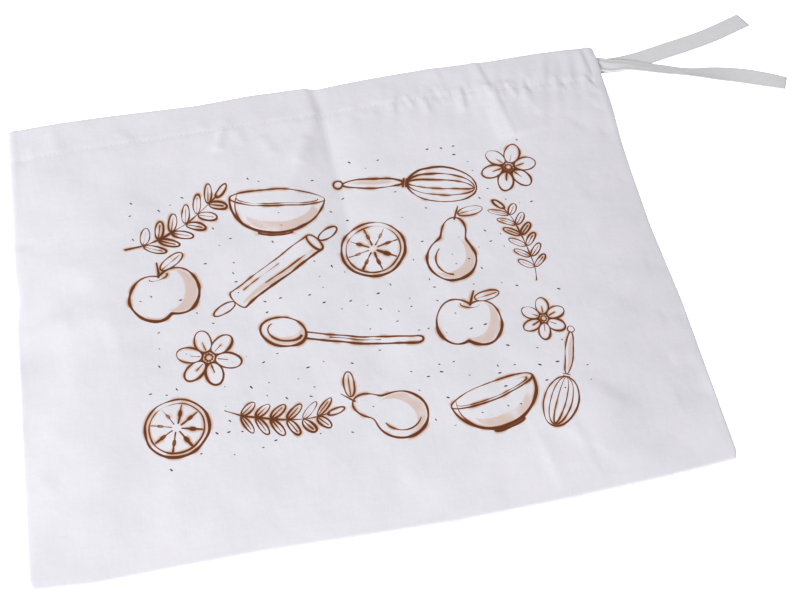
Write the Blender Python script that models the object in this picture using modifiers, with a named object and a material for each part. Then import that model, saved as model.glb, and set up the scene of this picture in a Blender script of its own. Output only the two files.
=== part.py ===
"""Linen bread bag lying on a table, its mouth towards +Y and its printed face up.

Two pieces: the bag, one length of cloth folded at the bottom, sewn at both sides and turned in at
the top as a drawstring channel, and the flat tape that runs through the channel and leaves it by
a slit at the right end. Metres, +Z up, with the origin under the middle of the bag.
"""

from collections import namedtuple
import math

import bmesh
import bpy
import numpy as np

# Sizes of the bag
BAG_WIDTH = 0.380
BAG_HEIGHT = 0.300
CLOTH = 0.001
HALF_WIDTH = BAG_WIDTH / 2
HALF_HEIGHT = BAG_HEIGHT / 2
CHANNEL_DEPTH = 0.025
STITCH_Y = HALF_HEIGHT - CHANNEL_DEPTH

# Sizes of the tape and of the room it has in the channel
TAPE_WIDTH = 0.012
TAPE_THICKNESS = 0.001
CLEARANCE = 0.0003
CHANNEL_GAP = TAPE_THICKNESS + 2 * CLEARANCE
HEM = 2 * CLOTH + CHANNEL_GAP

# Heights of the soft, slightly open form
MOUTH_GAP = 0.0047
MOUTH_END_GAP = 0.0010
PANEL_THICKNESS = 0.0099
EDGE_THICKNESS = 0.0032
STITCH_DIP = 0.0010
STITCH_DIP_WIDTH = 0.0024

# How far the form takes to rise from its sides, its bottom and the mouth's ends
SIDE_REACH = 0.055
BOTTOM_REACH = 0.075
MOUTH_REACH = 0.080
MOUTH_EASE = 3.0
PANEL_END_Y = 0.045
CHANNEL_START_Y = 0.119

# Insets from the outline, and the rounding of the edges
SIDE_WALL = 0.0012
CHANNEL_END_INSET = CLOTH
HEM_END_INSET = 0.0070
MOUTH_END_INSET = HEM_END_INSET + CLOTH
PANEL_ROUND = 0.0016
CHANNEL_ROUND = 0.0050
FOLD_ROUND = HEM / 2
MOUTH_FLARE = 0.0012
RIM = 0.30
BOTTOM_CORNER = 0.0050
TOP_CORNER = 0.0030

# Ends of the channel's hollow, and the slit that lets the tape out
CHANNEL_BOTTOM_Y = STITCH_Y + 0.0020
CHANNEL_TOP_Y = HALF_HEIGHT - 0.0022
STEP_START_Y = STITCH_Y - 0.0025
STEP_END_Y = STITCH_Y - 0.0010
PAST_MOUTH = 0.0060
SLIT_LENGTH = 0.0138
SLIT_HEIGHT = 0.0033
SLIT_MIDDLE_Y = 0.1310
SLIT_DEPTH = 0.0090
SLIT_OUT = 0.0015

# Outline of the cloth as it lies, one row for each place where an edge turns
EdgePoint = namedtuple("EdgePoint", "across edge")
FRONT_TOP = [EdgePoint(-0.190, 0.1450), EdgePoint(-0.140, 0.1425), EdgePoint(-0.070, 0.1400),
             EdgePoint(-0.035, 0.1418), EdgePoint(0.000, 0.1408), EdgePoint(0.008, 0.1398),
             EdgePoint(0.040, 0.1418), EdgePoint(0.075, 0.1430), EdgePoint(0.115, 0.1420),
             EdgePoint(0.150, 0.1440), EdgePoint(0.190, 0.1462)]
BACK_TOP = [EdgePoint(-0.190, 0.1450), EdgePoint(-0.100, 0.1456), EdgePoint(0.030, 0.1462),
            EdgePoint(0.120, 0.1458), EdgePoint(0.190, 0.1462)]
FRONT_STITCH = [EdgePoint(-0.190, 0.1195), EdgePoint(-0.060, 0.1175), EdgePoint(0.000, 0.1172),
                EdgePoint(0.077, 0.1196), EdgePoint(0.135, 0.1165), EdgePoint(0.190, 0.1158)]
BACK_STITCH = [EdgePoint(-0.190, 0.1195), EdgePoint(0.000, 0.1208), EdgePoint(0.190, 0.1158)]
BOTTOM = [EdgePoint(-0.190, -0.1512), EdgePoint(-0.160, -0.1535), EdgePoint(-0.080, -0.1525),
          EdgePoint(-0.025, -0.1540), EdgePoint(0.030, -0.1555), EdgePoint(0.090, -0.1545),
          EdgePoint(0.150, -0.1520), EdgePoint(0.190, -0.1492)]
LEFT = [EdgePoint(-0.150, -0.1900), EdgePoint(0.010, -0.1898), EdgePoint(0.028, -0.1882),
        EdgePoint(0.046, -0.1896), EdgePoint(0.150, -0.1898)]
RIGHT = [EdgePoint(-0.150, 0.1900), EdgePoint(-0.045, 0.1894), EdgePoint(0.010, 0.1868),
         EdgePoint(0.075, 0.1870), EdgePoint(0.105, 0.1886), EdgePoint(0.150, 0.1890)]

# Gathers along the stitch line: their spacing and their height, from the left end to the right
Gather = namedtuple("Gather", "x pitch height")
GATHERS = [Gather(-0.1835, 0.0200, 0.0004), Gather(-0.120, 0.0190, 0.0003),
           Gather(-0.060, 0.0170, 0.0004), Gather(0.000, 0.0150, 0.0006),
           Gather(0.060, 0.0120, 0.0009), Gather(0.120, 0.0100, 0.0012),
           Gather(0.1835, 0.0100, 0.0013)]
GATHER_ABOVE = 0.0150
GATHER_BELOW = 0.0210
GATHER_UNEVEN = 0.35
GATHER_SAMPLES = 400
GATHER_SWELL = 2.3
GATHER_BEAT = 0.9
GATHER_BEAT_START = 0.6

# The pressed fold down the middle: where it runs, how deep it is, and how wide its two sides are
PressedFold = namedtuple("PressedFold", "y x depth")
MIDDLE_FOLD = [PressedFold(-0.130, 0.0090, 0.0001), PressedFold(0.020, 0.0076, 0.0004),
               PressedFold(0.060, 0.0097, 0.0009), PressedFold(0.113, 0.0090, 0.0011),
               PressedFold(0.138, 0.0021, 0.0010)]
FOLD_LEFT_WIDTH = 0.0120
FOLD_RIGHT_WIDTH = 0.0070

# Single creases and ridges: both ends, height (below zero for a trough) and half width
Crease = namedtuple("Crease", "x0 y0 x1 y1 height width")
CREASE_HELD = 0.35
CREASE_FADE = 0.18
RELIEF_MARGIN = 0.016
CREASES = [Crease(-0.187, -0.0142, -0.135, -0.0142, -0.0007, 0.0050),
           Crease(-0.186, 0.0010, -0.150, 0.0030, -0.0004, 0.0060),
           Crease(0.104, 0.1130, 0.118, 0.0800, 0.0012, 0.0070),
           Crease(0.130, 0.1100, 0.141, 0.0950, 0.0008, 0.0050),
           Crease(-0.0588, 0.1150, -0.0608, 0.1010, -0.0006, 0.0050),
           Crease(-0.030, 0.1080, -0.014, 0.0600, 0.0007, 0.0080),
           Crease(0.150, 0.1080, 0.168, 0.0880, 0.0009, 0.0060),
           Crease(0.182, -0.0200, 0.158, -0.0260, -0.0007, 0.0060),
           Crease(-0.010, -0.1420, 0.060, -0.1180, 0.0006, 0.0120),
           Crease(0.090, -0.1300, 0.140, -0.0900, 0.0005, 0.0140)]

# Long soft waves of the upper cloth: across and along frequency, start and height
Wave = namedtuple("Wave", "across along start height")
WAVES = [Wave(38.0, 21.0, 0.4, 0.00022), Wave(-23.0, 47.0, 1.9, 0.00020), Wave(61.0, -33.0, 3.1, 0.00012)]

# Rows of the grids, from the bottom fold to the mouth, and columns close to the two sides
PANEL_ROWS = [-0.1460, -0.1380, -0.1240, -0.1050, -0.0830, -0.0600, -0.0380, -0.0210, -0.0145,
              -0.0080, 0.0060, 0.0240, 0.0440, 0.0640, 0.0810, 0.0950, 0.1060, 0.1140, 0.1192]
CHANNEL_ROWS = [0.1285, 0.1330, 0.1385, 0.1435]
BOTTOM_INSETS = [0.0000, 0.0005, 0.0017]
SIDE_INSETS = [0.0000, 0.0005, 0.0016, 0.0036]
COLUMN_SPACE = 0.0020
MOUTH_ROWS = [STEP_START_Y, STEP_END_Y, STITCH_Y + 0.0020, 0.1370, HALF_HEIGHT - MOUTH_FLARE,
              HALF_HEIGHT - MOUTH_FLARE / 4, HALF_HEIGHT, HALF_HEIGHT + PAST_MOUTH]
TOP_ROWS = [STEP_START_Y, STITCH_Y] + CHANNEL_ROWS
TOP_ROWS += [HALF_HEIGHT - FOLD_ROUND, HALF_HEIGHT - FOLD_ROUND / 3, HALF_HEIGHT]

# Free ends of the tape, from the slit outwards; tilt in degrees lifts the edge nearest the viewer
TapeStation = namedtuple("TapeStation", "x y z tilt")
NEAR_END = [TapeStation(0.1874, 0.1310, 0.00485, 0.0), TapeStation(0.1905, 0.1310, 0.00478, 0.0),
            TapeStation(0.1975, 0.1304, 0.00440, 3.0),
            TapeStation(0.2060, 0.1296, 0.00365, 7.0), TapeStation(0.2140, 0.1284, 0.00330, 9.0),
            TapeStation(0.2220, 0.1260, 0.00355, 16.0), TapeStation(0.2310, 0.1222, 0.00370, 27.0),
            TapeStation(0.2410, 0.1186, 0.00380, 31.0), TapeStation(0.2510, 0.1156, 0.00300, 22.0),
            TapeStation(0.2620, 0.1132, 0.00180, 10.0), TapeStation(0.2740, 0.1100, 0.00070, 1.0),
            TapeStation(0.2860, 0.1058, 0.00055, 0.0), TapeStation(0.2970, 0.1006, 0.00055, 0.0),
            TapeStation(0.3065, 0.0955, 0.00055, 0.0)]
FAR_END = [TapeStation(0.1874, 0.1310, 0.00335, 0.0), TapeStation(0.1905, 0.1310, 0.00342, 0.0),
           TapeStation(0.1980, 0.1317, 0.00250, 0.0),
           TapeStation(0.2060, 0.1330, 0.00125, 0.0), TapeStation(0.2150, 0.1346, 0.00058, 0.0),
           TapeStation(0.2250, 0.1366, 0.00055, 0.0), TapeStation(0.2400, 0.1402, 0.00055, 0.0),
           TapeStation(0.2560, 0.1438, 0.00055, 0.0), TapeStation(0.2720, 0.1478, 0.00055, 0.0),
           TapeStation(0.2860, 0.1520, 0.00055, 0.0), TapeStation(0.2975, 0.1556, 0.00055, 0.0)]
TAPE_FRONT_Y = 0.1300
TAPE_BACK_Y = 0.1332
TAPE_TURN_X = -0.1835
TAPE_TURN_Y = 0.1322
TAPE_SETTLE = 0.0900
TAPE_TURN_STEPS = 8
TAPE_RUN_STEP = 0.0240
TAPE_END_STEP = 0.0050
TAPE_EXIT_X = 0.1835

# Colours, as linear red, green and blue
LINEN = (0.79, 0.78, 0.80, 1.0)
TAPE_COTTON = (0.70, 0.69, 0.71, 1.0)
CLOTH_ROUGHNESS = 0.92
COPLANAR = math.radians(0.3)


def column(table, name):
    """One named column of a table, as an array."""
    return np.array([getattr(row, name) for row in table])


def edge_at(table, across):
    """Place of an edge beside the places given."""
    return np.interp(across, column(table, "across"), column(table, "edge"))


def ease(distance, reach, power=2.0):
    """0 at an edge and 1 from reach onwards, steepest at the edge."""
    return 1.0 - (1.0 - np.clip(distance / reach, 0.0, 1.0)) ** power


def smooth_step(value, start, end):
    """0 before start, 1 after end, and a soft S between them."""
    t = np.clip((value - start) / (end - start), 0.0, 1.0)
    return t * t * (3.0 - 2.0 * t)


def quarter_round(distance, radius):
    """Height of a quarter circle: 0 at the edge and 1 at its radius."""
    t = 1.0 - np.clip(distance / radius, 0.0, 1.0)
    return np.sqrt(1.0 - t * t)


def fullness(distance, radius):
    """Share of the thickness that is left at a distance from a rounded edge."""
    return RIM + (1.0 - RIM) * quarter_round(distance, radius)


def lay_out(across, along, upper):
    """Nominal place on the bag to its place on the table, which follows the uneven outline."""
    top = edge_at(FRONT_TOP if upper else BACK_TOP, across)
    stitch = edge_at(FRONT_STITCH if upper else BACK_STITCH, across)
    bottom = edge_at(BOTTOM, across)
    below = (along + HALF_HEIGHT) / (STITCH_Y + HALF_HEIGHT)
    above = (along - STITCH_Y) / CHANNEL_DEPTH
    y = np.where(along < STITCH_Y, bottom + below * (stitch - bottom), stitch + above * (top - stitch))
    bottom_corner = BOTTOM_CORNER * (1.0 - quarter_round(HALF_HEIGHT + along, BOTTOM_CORNER))
    top_corner = TOP_CORNER * (1.0 - quarter_round(HALF_HEIGHT - along, TOP_CORNER))
    corner = bottom_corner + top_corner
    left = edge_at(LEFT, along) + corner
    right = edge_at(RIGHT, along) - corner
    x = left + (across + HALF_WIDTH) / BAG_WIDTH * (right - left)
    return x, y


def channel_thickness(across):
    """Both hems and the mouth between them, which closes towards the two ends."""
    inside = np.clip(HALF_WIDTH - MOUTH_END_INSET - np.abs(across), 0.0, None)
    gap = MOUTH_END_GAP + (MOUTH_GAP - MOUTH_END_GAP) * ease(inside, MOUTH_REACH, MOUTH_EASE)
    return 2 * HEM + gap


def panel_thickness(across, along):
    """The body of the bag, thin at its sides and its bottom and soft in the middle."""
    sides = ease(HALF_WIDTH - np.abs(across), SIDE_REACH)
    bottom = ease(HALF_HEIGHT + along, BOTTOM_REACH)
    return EDGE_THICKNESS + (PANEL_THICKNESS - EDGE_THICKNESS) * sides * bottom


def gather_phase(across):
    """Count of gathers from the left end, as a running total over their uneven spacing."""
    samples = np.linspace(GATHERS[0].x, GATHERS[-1].x, GATHER_SAMPLES)
    rate = 1.0 / np.interp(samples, column(GATHERS, "x"), column(GATHERS, "pitch"))
    total = np.concatenate([[0.0], np.cumsum((rate[1:] + rate[:-1]) / 2 * np.diff(samples))])
    return np.interp(across, samples, total), samples, total


def gathers(across, along):
    """Puckers that stand up along the stitch line and die away above and below it."""
    phase, _, _ = gather_phase(across)
    height = np.interp(across, column(GATHERS, "x"), column(GATHERS, "height"))
    beat = np.cos(GATHER_BEAT * phase + GATHER_BEAT_START)
    uneven = 1.0 + GATHER_UNEVEN * np.sin(GATHER_SWELL * phase) * beat
    reach = np.where(along > STITCH_Y, GATHER_ABOVE, GATHER_BELOW)
    fade = np.exp(-((along - STITCH_Y) / reach) ** 2)
    return height * uneven * fade * (0.5 + 0.5 * np.cos(2 * math.pi * phase))


def middle_fold(x, y):
    """A shallow valley with a sharp floor, wider on its left side."""
    away = x - np.interp(y, column(MIDDLE_FOLD, "y"), column(MIDDLE_FOLD, "x"))
    depth = np.interp(y, column(MIDDLE_FOLD, "y"), column(MIDDLE_FOLD, "depth"))
    width = np.where(away < 0, FOLD_LEFT_WIDTH, FOLD_RIGHT_WIDTH)
    return -depth * np.exp(-np.abs(away) / width)


def single_creases(x, y):
    """The sum of the single creases, each a soft ridge or trough along a line that fades at its ends."""
    relief = np.zeros_like(x)
    for fold in CREASES:
        run = np.array([fold.x1 - fold.x0, fold.y1 - fold.y0])
        length = np.hypot(*run)
        along = ((x - fold.x0) * run[0] + (y - fold.y0) * run[1]) / length ** 2
        across = ((x - fold.x0) * run[1] - (y - fold.y0) * run[0]) / length
        past = np.clip(np.abs(along - 0.5) - CREASE_HELD, 0.0, None)
        ends = np.exp(-(past / CREASE_FADE) ** 2)
        relief += fold.height * ends * np.exp(-(across / fold.width) ** 2)
    return relief


def soft_waves(x, y):
    """Long low waves."""
    relief = np.zeros_like(x)
    for wave in WAVES:
        relief += wave.height * np.sin(wave.across * x + wave.along * y + wave.start)
    return relief


def bag_thickness(across, along):
    """Height of the bag's upper face, before its edges are rounded."""
    x, y = lay_out(across, along, True)
    channel_share = smooth_step(along, PANEL_END_Y, CHANNEL_START_Y)
    channel = channel_thickness(across)
    body = panel_thickness(across, along)
    dip = STITCH_DIP * np.exp(-((along - STITCH_Y) / STITCH_DIP_WIDTH) ** 2)
    inner = ease(HALF_WIDTH - np.abs(across), RELIEF_MARGIN) * ease(HALF_HEIGHT + along, RELIEF_MARGIN)
    below_stitch = 1.0 - smooth_step(along, STITCH_Y, HALF_HEIGHT)
    creases = (single_creases(x, y) + soft_waves(x, y)) * below_stitch + middle_fold(x, y)
    relief = gathers(across, along) + creases
    in_channel = along > STITCH_Y
    relief = np.where(in_channel, np.maximum(relief, 0.0), relief)
    return body * (1.0 - channel_share) + channel * channel_share - dip + relief * inner


def edge_round(along):
    """Radius of the sides, which are thicker at the channel."""
    return PANEL_ROUND + (CHANNEL_ROUND - PANEL_ROUND) * smooth_step(along, PANEL_END_Y, CHANNEL_START_Y)


def outer_place(across, along, upper):
    """Outside of the bag: flat below, soft above, with rounded sides, bottom fold and top folds."""
    thickness = bag_thickness(across, along)
    sides = fullness(HALF_WIDTH - np.abs(across), edge_round(along))
    bottom = fullness(HALF_HEIGHT + along, PANEL_ROUND)
    full = sides * bottom
    fold = FOLD_ROUND * (1.0 - quarter_round(HALF_HEIGHT - along, FOLD_ROUND)) * full
    x, y = lay_out(across, along, upper)
    if upper:
        return x, y, thickness * (0.5 + 0.5 * full) - fold
    return x, y, thickness * (0.5 - 0.5 * full) + fold


def cavity_place(across, along, upper):
    """Hollow of the bag with its mouth, which narrows where the hems are turned in."""
    step = smooth_step(along, STEP_START_Y, STEP_END_Y)
    side = HALF_WIDTH - SIDE_WALL
    narrow = 1.0 + step * ((HALF_WIDTH - MOUTH_END_INSET) / side - 1.0)
    across = across * narrow
    wall = CLOTH + (HEM - CLOTH) * step
    thickness = bag_thickness(across, along) * (1.0 - step) + channel_thickness(across) * step
    to_side = side * narrow - np.abs(across)
    to_bottom = HALF_HEIGHT - SIDE_WALL + along
    full = fullness(to_side, edge_round(along)) * fullness(to_bottom, PANEL_ROUND)
    flare = MOUTH_FLARE * (1.0 - quarter_round(HALF_HEIGHT - along, MOUTH_FLARE))
    x, y = lay_out(across, along, upper)
    middle = thickness / 2
    if upper:
        return x, y, middle + (middle - wall) * full + flare
    return x, y, middle * (1.0 - full) + wall * full - flare


def channel_place(across, along, upper):
    """Room between the outer cloth of both hems, round the whole mouth."""
    thickness = bag_thickness(across, along)
    side = HALF_WIDTH - CHANNEL_END_INSET
    full = fullness(side - np.abs(across), CHANNEL_ROUND - CLOTH)
    x, y = lay_out(across, along, upper)
    middle = thickness / 2
    if upper:
        return x, y, middle + (middle - CLOTH) * full
    return x, y, middle * (1.0 - full) + CLOTH * full


def turned_in_place(across, along, upper):
    """Outside of the turned-in cloth, the ring that stands inside the channel's room."""
    across = across * (HALF_WIDTH - HEM_END_INSET) / (HALF_WIDTH - CHANNEL_END_INSET)
    thickness = channel_thickness(across)
    full = fullness(HALF_WIDTH - HEM_END_INSET - np.abs(across), CLOTH)
    wall = CLOTH + CHANNEL_GAP
    x, y = lay_out(across, along, upper)
    middle = thickness / 2
    if upper:
        return x, y, middle + (middle - wall) * full
    return x, y, middle * (1.0 - full) + wall * full


def body_columns():
    """A column on each crest and in each trough of the gathers."""
    _, samples, total = gather_phase(np.zeros(1))
    halves = np.arange(0.0, total[-1], 0.5)
    return np.interp(halves, total, samples)


def columns_from(inset):
    """All columns of a grid whose sides are inset from the outline."""
    near_side = HALF_WIDTH - inset - np.array(SIDE_INSETS)
    middle = body_columns()
    middle = middle[np.abs(middle) < near_side[-1] - COLUMN_SPACE]
    return np.concatenate([-near_side, middle, near_side[::-1]])


def rows_from(bottom_inset, upper_rows):
    """All rows of a grid from the bottom fold up to the rows given."""
    return np.concatenate([np.array(BOTTOM_INSETS) + bottom_inset - HALF_HEIGHT, PANEL_ROWS, upper_rows])


def closed_form(name, columns, rows, place, collection):
    """A closed body over a grid: one face follows place() as the upper side, the other as the lower."""
    mesh_grid = bmesh.new()
    x_faces = len(columns) - 1
    y_faces = len(rows) - 1
    bmesh.ops.create_grid(mesh_grid, x_segments=x_faces, y_segments=y_faces, size=0.5)
    lower = list(mesh_grid.verts)
    made = bmesh.ops.extrude_face_region(mesh_grid, geom=list(mesh_grid.faces))
    upper = [item for item in made["geom"] if isinstance(item, bmesh.types.BMVert)]
    for verts, is_upper in ((lower, False), (upper, True)):
        grid = np.array([vert.co for vert in verts])
        across = columns[np.rint((grid[:, 0] + 0.5) * x_faces).astype(int)]
        along = rows[np.rint((grid[:, 1] + 0.5) * y_faces).astype(int)]
        x, y, z = place(across, along, is_upper)
        for vert, point in zip(verts, np.stack([x, y, z], axis=1)):
            vert.co = point
    bmesh.ops.recalc_face_normals(mesh_grid, faces=list(mesh_grid.faces))
    mesh = bpy.data.meshes.new(name)
    mesh_grid.to_mesh(mesh)
    mesh_grid.free()
    form = bpy.data.objects.new(name, mesh)
    collection.objects.link(form)
    return form


def as_cutter(cutter):
    """Show a cutter as wires and keep it out of renders."""
    cutter.hide_render = True
    cutter.display_type = "WIRE"


def cut(target, cutter):
    """Take one body away from another."""
    boolean = target.modifiers.new("cut " + cutter.name, "BOOLEAN")
    boolean.operation = "DIFFERENCE"
    boolean.solver = "EXACT"
    boolean.object = cutter


def cloth_material(name, colour):
    """A matt woven finish."""
    material = bpy.data.materials.new(name)
    material.use_nodes = True
    shader = material.node_tree.nodes["Principled BSDF"]
    shader.inputs["Base Color"].default_value = colour
    shader.inputs["Roughness"].default_value = CLOTH_ROUGHNESS
    shader.inputs["Metallic"].default_value = 0.0
    material.diffuse_color = colour
    return material


def make_channel_cutter(collection):
    """The ring-shaped hollow for the tape: the channel's room without the turned-in cloth."""
    columns = columns_from(CHANNEL_END_INSET)
    rows = np.array([CHANNEL_BOTTOM_Y] + CHANNEL_ROWS + [CHANNEL_TOP_Y])
    ring = closed_form("channel_room", columns, rows, channel_place, collection)
    past_rows = np.array([STITCH_Y - PAST_MOUTH, HALF_HEIGHT + PAST_MOUTH])
    core = closed_form("turned_in_cloth", columns, past_rows, turned_in_place, collection)
    as_cutter(core)
    cut(ring, core)
    as_cutter(ring)
    return ring


def make_cavity_cutter(collection):
    """The inside of the bag and its mouth."""
    rows = rows_from(SIDE_WALL, MOUTH_ROWS)
    cavity = closed_form("inside", columns_from(SIDE_WALL), rows, cavity_place, collection)
    as_cutter(cavity)
    return cavity


def make_slit_cutter(collection):
    """The gap in the right side seam where the tape comes out of the channel."""
    bpy.ops.mesh.primitive_cube_add(size=1.0)
    slit = bpy.context.active_object
    slit.name = "slit"
    right = edge_at(RIGHT, HALF_HEIGHT)
    slit.scale = (SLIT_DEPTH, SLIT_LENGTH, SLIT_HEIGHT)
    slit.location = (right + SLIT_OUT, SLIT_MIDDLE_Y, channel_thickness(np.array(HALF_WIDTH)) / 2)
    bpy.ops.object.transform_apply(location=False, rotation=False, scale=True)
    for other in list(slit.users_collection):
        other.objects.unlink(slit)
    collection.objects.link(slit)
    as_cutter(slit)
    return slit


def make_bag(parts, cutters):
    """The bag of one cloth: outside form, less its inside, its channel and the tape's slit."""
    bag = closed_form("bag_cloth", columns_from(0.0), rows_from(0.0, TOP_ROWS), outer_place, parts)
    cut(bag, make_cavity_cutter(cutters))
    cut(bag, make_channel_cutter(cutters))
    cut(bag, make_slit_cutter(cutters))
    flats = bag.modifiers.new("join coplanar faces", "DECIMATE")
    flats.decimate_type = "DISSOLVE"
    flats.angle_limit = COPLANAR
    bag.data.materials.append(cloth_material("linen", LINEN))
    return bag


def smooth_route(stations, spacing):
    """Even points on a smooth curve through the stations (Catmull-Rom, by chord length)."""
    knots = np.array([tuple(station) for station in stations])
    chord = np.concatenate([[0.0], np.cumsum(np.linalg.norm(np.diff(knots[:, :3], axis=0), axis=1))])
    slopes = np.gradient(knots, chord, axis=0)
    count = max(2, int(round(chord[-1] / spacing)) + 1)
    at = np.linspace(0.0, chord[-1], count)
    segment = np.clip(np.searchsorted(chord, at, side="right") - 1, 0, len(chord) - 2)
    span = (chord[segment + 1] - chord[segment])[:, None]
    t = (at[:, None] - chord[segment][:, None]) / span
    start = (2 * t ** 3 - 3 * t ** 2 + 1) * knots[segment]
    end = (3 * t ** 2 - 2 * t ** 3) * knots[segment + 1]
    start_slope = (t ** 3 - 2 * t ** 2 + t) * span * slopes[segment]
    end_slope = (t ** 3 - t ** 2) * span * slopes[segment + 1]
    return start + end + start_slope + end_slope


def tape_route():
    """The whole tape: near end, front channel, round inside the left end, back channel, far end."""
    run_x = np.arange(TAPE_EXIT_X, TAPE_TURN_X, -TAPE_RUN_STEP)
    to_slit = smooth_step(run_x, TAPE_EXIT_X - TAPE_SETTLE, TAPE_EXIT_X)
    to_turn = 1.0 - smooth_step(run_x, TAPE_TURN_X, TAPE_TURN_X + TAPE_SETTLE)
    end_y = SLIT_MIDDLE_Y * to_slit + TAPE_TURN_Y * to_turn
    between = 1.0 - to_slit - to_turn
    front_z = channel_thickness(run_x) - CLOTH - CHANNEL_GAP / 2
    front_y = end_y + TAPE_FRONT_Y * between
    back_z = np.full_like(run_x, CLOTH + CHANNEL_GAP / 2)
    back_y = end_y + TAPE_BACK_Y * between
    flat = np.zeros_like(run_x)
    front = np.stack([run_x, front_y, front_z, flat], axis=1)
    back = np.stack([run_x, back_y, back_z, flat], axis=1)[::-1]
    middle_z = channel_thickness(np.array(HALF_WIDTH)) / 2
    radius = middle_z - CLOTH - CHANNEL_GAP / 2
    angle = np.linspace(0.0, math.pi, TAPE_TURN_STEPS + 1)
    level = np.zeros_like(angle)
    turn = np.stack([TAPE_TURN_X - radius * np.sin(angle), level + TAPE_TURN_Y,
                     middle_z + radius * np.cos(angle), level], axis=1)
    near = smooth_route(NEAR_END, TAPE_END_STEP)[::-1]
    far = smooth_route(FAR_END, TAPE_END_STEP)
    return np.concatenate([near, front, turn, back, far])


def make_tape(parts):
    """The flat tape: a ribbon carried along its route, with both faces half its thickness away."""
    route = tape_route()
    centre = route[:, :3]
    tilt = np.radians(route[:, 3])[:, None]
    heading = np.gradient(centre, axis=0)
    heading /= np.linalg.norm(heading, axis=1)[:, None]
    sideways = np.array([0.0, 1.0, 0.0]) - heading[:, 1:2] * heading
    sideways /= np.linalg.norm(sideways, axis=1)[:, None]
    width = np.cos(tilt) * sideways - np.sin(tilt) * np.array([0.0, 0.0, 1.0])
    ribbon = bmesh.new()
    last = len(centre) - 1
    bmesh.ops.create_grid(ribbon, x_segments=last, y_segments=2, size=0.5)
    for vert in ribbon.verts:
        station = int(round((vert.co.x + 0.5) * last))
        vert.co = centre[station] + vert.co.y * TAPE_WIDTH * width[station]
    mesh = bpy.data.meshes.new("drawstring_tape")
    ribbon.to_mesh(mesh)
    ribbon.free()
    tape = bpy.data.objects.new("drawstring_tape", mesh)
    parts.objects.link(tape)
    solid = tape.modifiers.new("thickness", "SOLIDIFY")
    solid.thickness = TAPE_THICKNESS
    solid.offset = 0.0
    tape.data.materials.append(cloth_material("cotton tape", TAPE_COTTON))
    return tape


def clear_scene():
    """Start from an empty scene."""
    for item in list(bpy.data.objects):
        bpy.data.objects.remove(item, do_unlink=True)


def new_collection(name):
    """A collection of the scene's own."""
    collection = bpy.data.collections.new(name)
    bpy.context.scene.collection.children.link(collection)
    return collection


def main():
    """Build the bag and its tape."""
    clear_scene()
    parts = new_collection("bread_bag")
    cutters = new_collection("cutters")
    make_bag(parts, cutters)
    make_tape(parts)


main()
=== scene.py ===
"""Looks of the linen bread bag: its cloth, tape, stitches and printed drawing, and a pale studio round it.

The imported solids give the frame. Each new piece is a surface worked out from two parameters and lies in the
place of its solid. Metres throughout, apart from the printed drawing, whose tables are in millimetres.
"""

from collections import namedtuple
import math

import bpy
from bpy.props import FloatProperty, FloatVectorProperty, PointerProperty
from bpy.types import Operator, Panel, PropertyGroup
from mathutils import Matrix, Vector
import numpy as np


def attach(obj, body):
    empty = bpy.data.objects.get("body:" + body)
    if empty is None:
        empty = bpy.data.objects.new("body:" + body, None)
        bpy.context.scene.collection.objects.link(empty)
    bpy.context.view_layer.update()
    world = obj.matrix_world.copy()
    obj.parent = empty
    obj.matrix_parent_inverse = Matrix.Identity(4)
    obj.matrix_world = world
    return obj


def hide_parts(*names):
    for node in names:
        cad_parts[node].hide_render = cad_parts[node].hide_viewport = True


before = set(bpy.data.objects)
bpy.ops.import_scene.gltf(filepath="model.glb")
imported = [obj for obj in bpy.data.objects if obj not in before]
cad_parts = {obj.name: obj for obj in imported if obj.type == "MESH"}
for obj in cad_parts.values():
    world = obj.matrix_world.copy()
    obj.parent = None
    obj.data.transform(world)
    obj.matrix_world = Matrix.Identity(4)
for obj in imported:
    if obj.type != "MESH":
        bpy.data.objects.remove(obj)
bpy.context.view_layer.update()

bl_info = {
    "name": "Linen bread bag",
    "version": (1, 0, 0),
    "blender": (4, 5, 0),
    "location": "View3D > Sidebar > Bread Bag",
    "description": "Builds a flat drawstring bag of linen, its tape, its stitches and a pale studio",
    "category": "Object",
}

BODY = "root"

MM = 0.001

# Sizes of the bag, as in its solids
BAG_WIDTH = 0.380
BAG_HEIGHT = 0.300
HALF_WIDTH = BAG_WIDTH / 2
HALF_HEIGHT = BAG_HEIGHT / 2
CHANNEL_DEPTH = 0.025
STITCH_Y = HALF_HEIGHT - CHANNEL_DEPTH
SOLID_CLOTH = 0.001
TAPE_ROOM = 0.0016
HEM = 2 * SOLID_CLOTH + TAPE_ROOM
MOUTH_GAP = 0.0047
MOUTH_END_GAP = 0.0010
PANEL_THICKNESS = 0.0099
EDGE_THICKNESS = 0.0032
SIDE_REACH = 0.055
RIGHT_SIDE_REACH = 0.085
BOTTOM_REACH = 0.075
MOUTH_REACH = 0.080
PANEL_END_Y = 0.045
CHANNEL_START_Y = 0.119
PANEL_ROUND = 0.0016
CHANNEL_ROUND = 0.0050
HEM_ROUND = 0.0012
HEM_HALF_WIDTH = HALF_WIDTH - 0.0070
MOUTH_END_INSET = 0.0080
BOTTOM_CORNER = 0.0050
TOP_CORNER = 0.0030
SLIT_MIDDLE_Y = 0.1310
SLIT_LENGTH = 0.0138
SLIT_HALF_OPEN = 0.0016
SLIT_FADE_OUT = 0.0010
SLIT_FADE_IN = 0.0012

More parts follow.
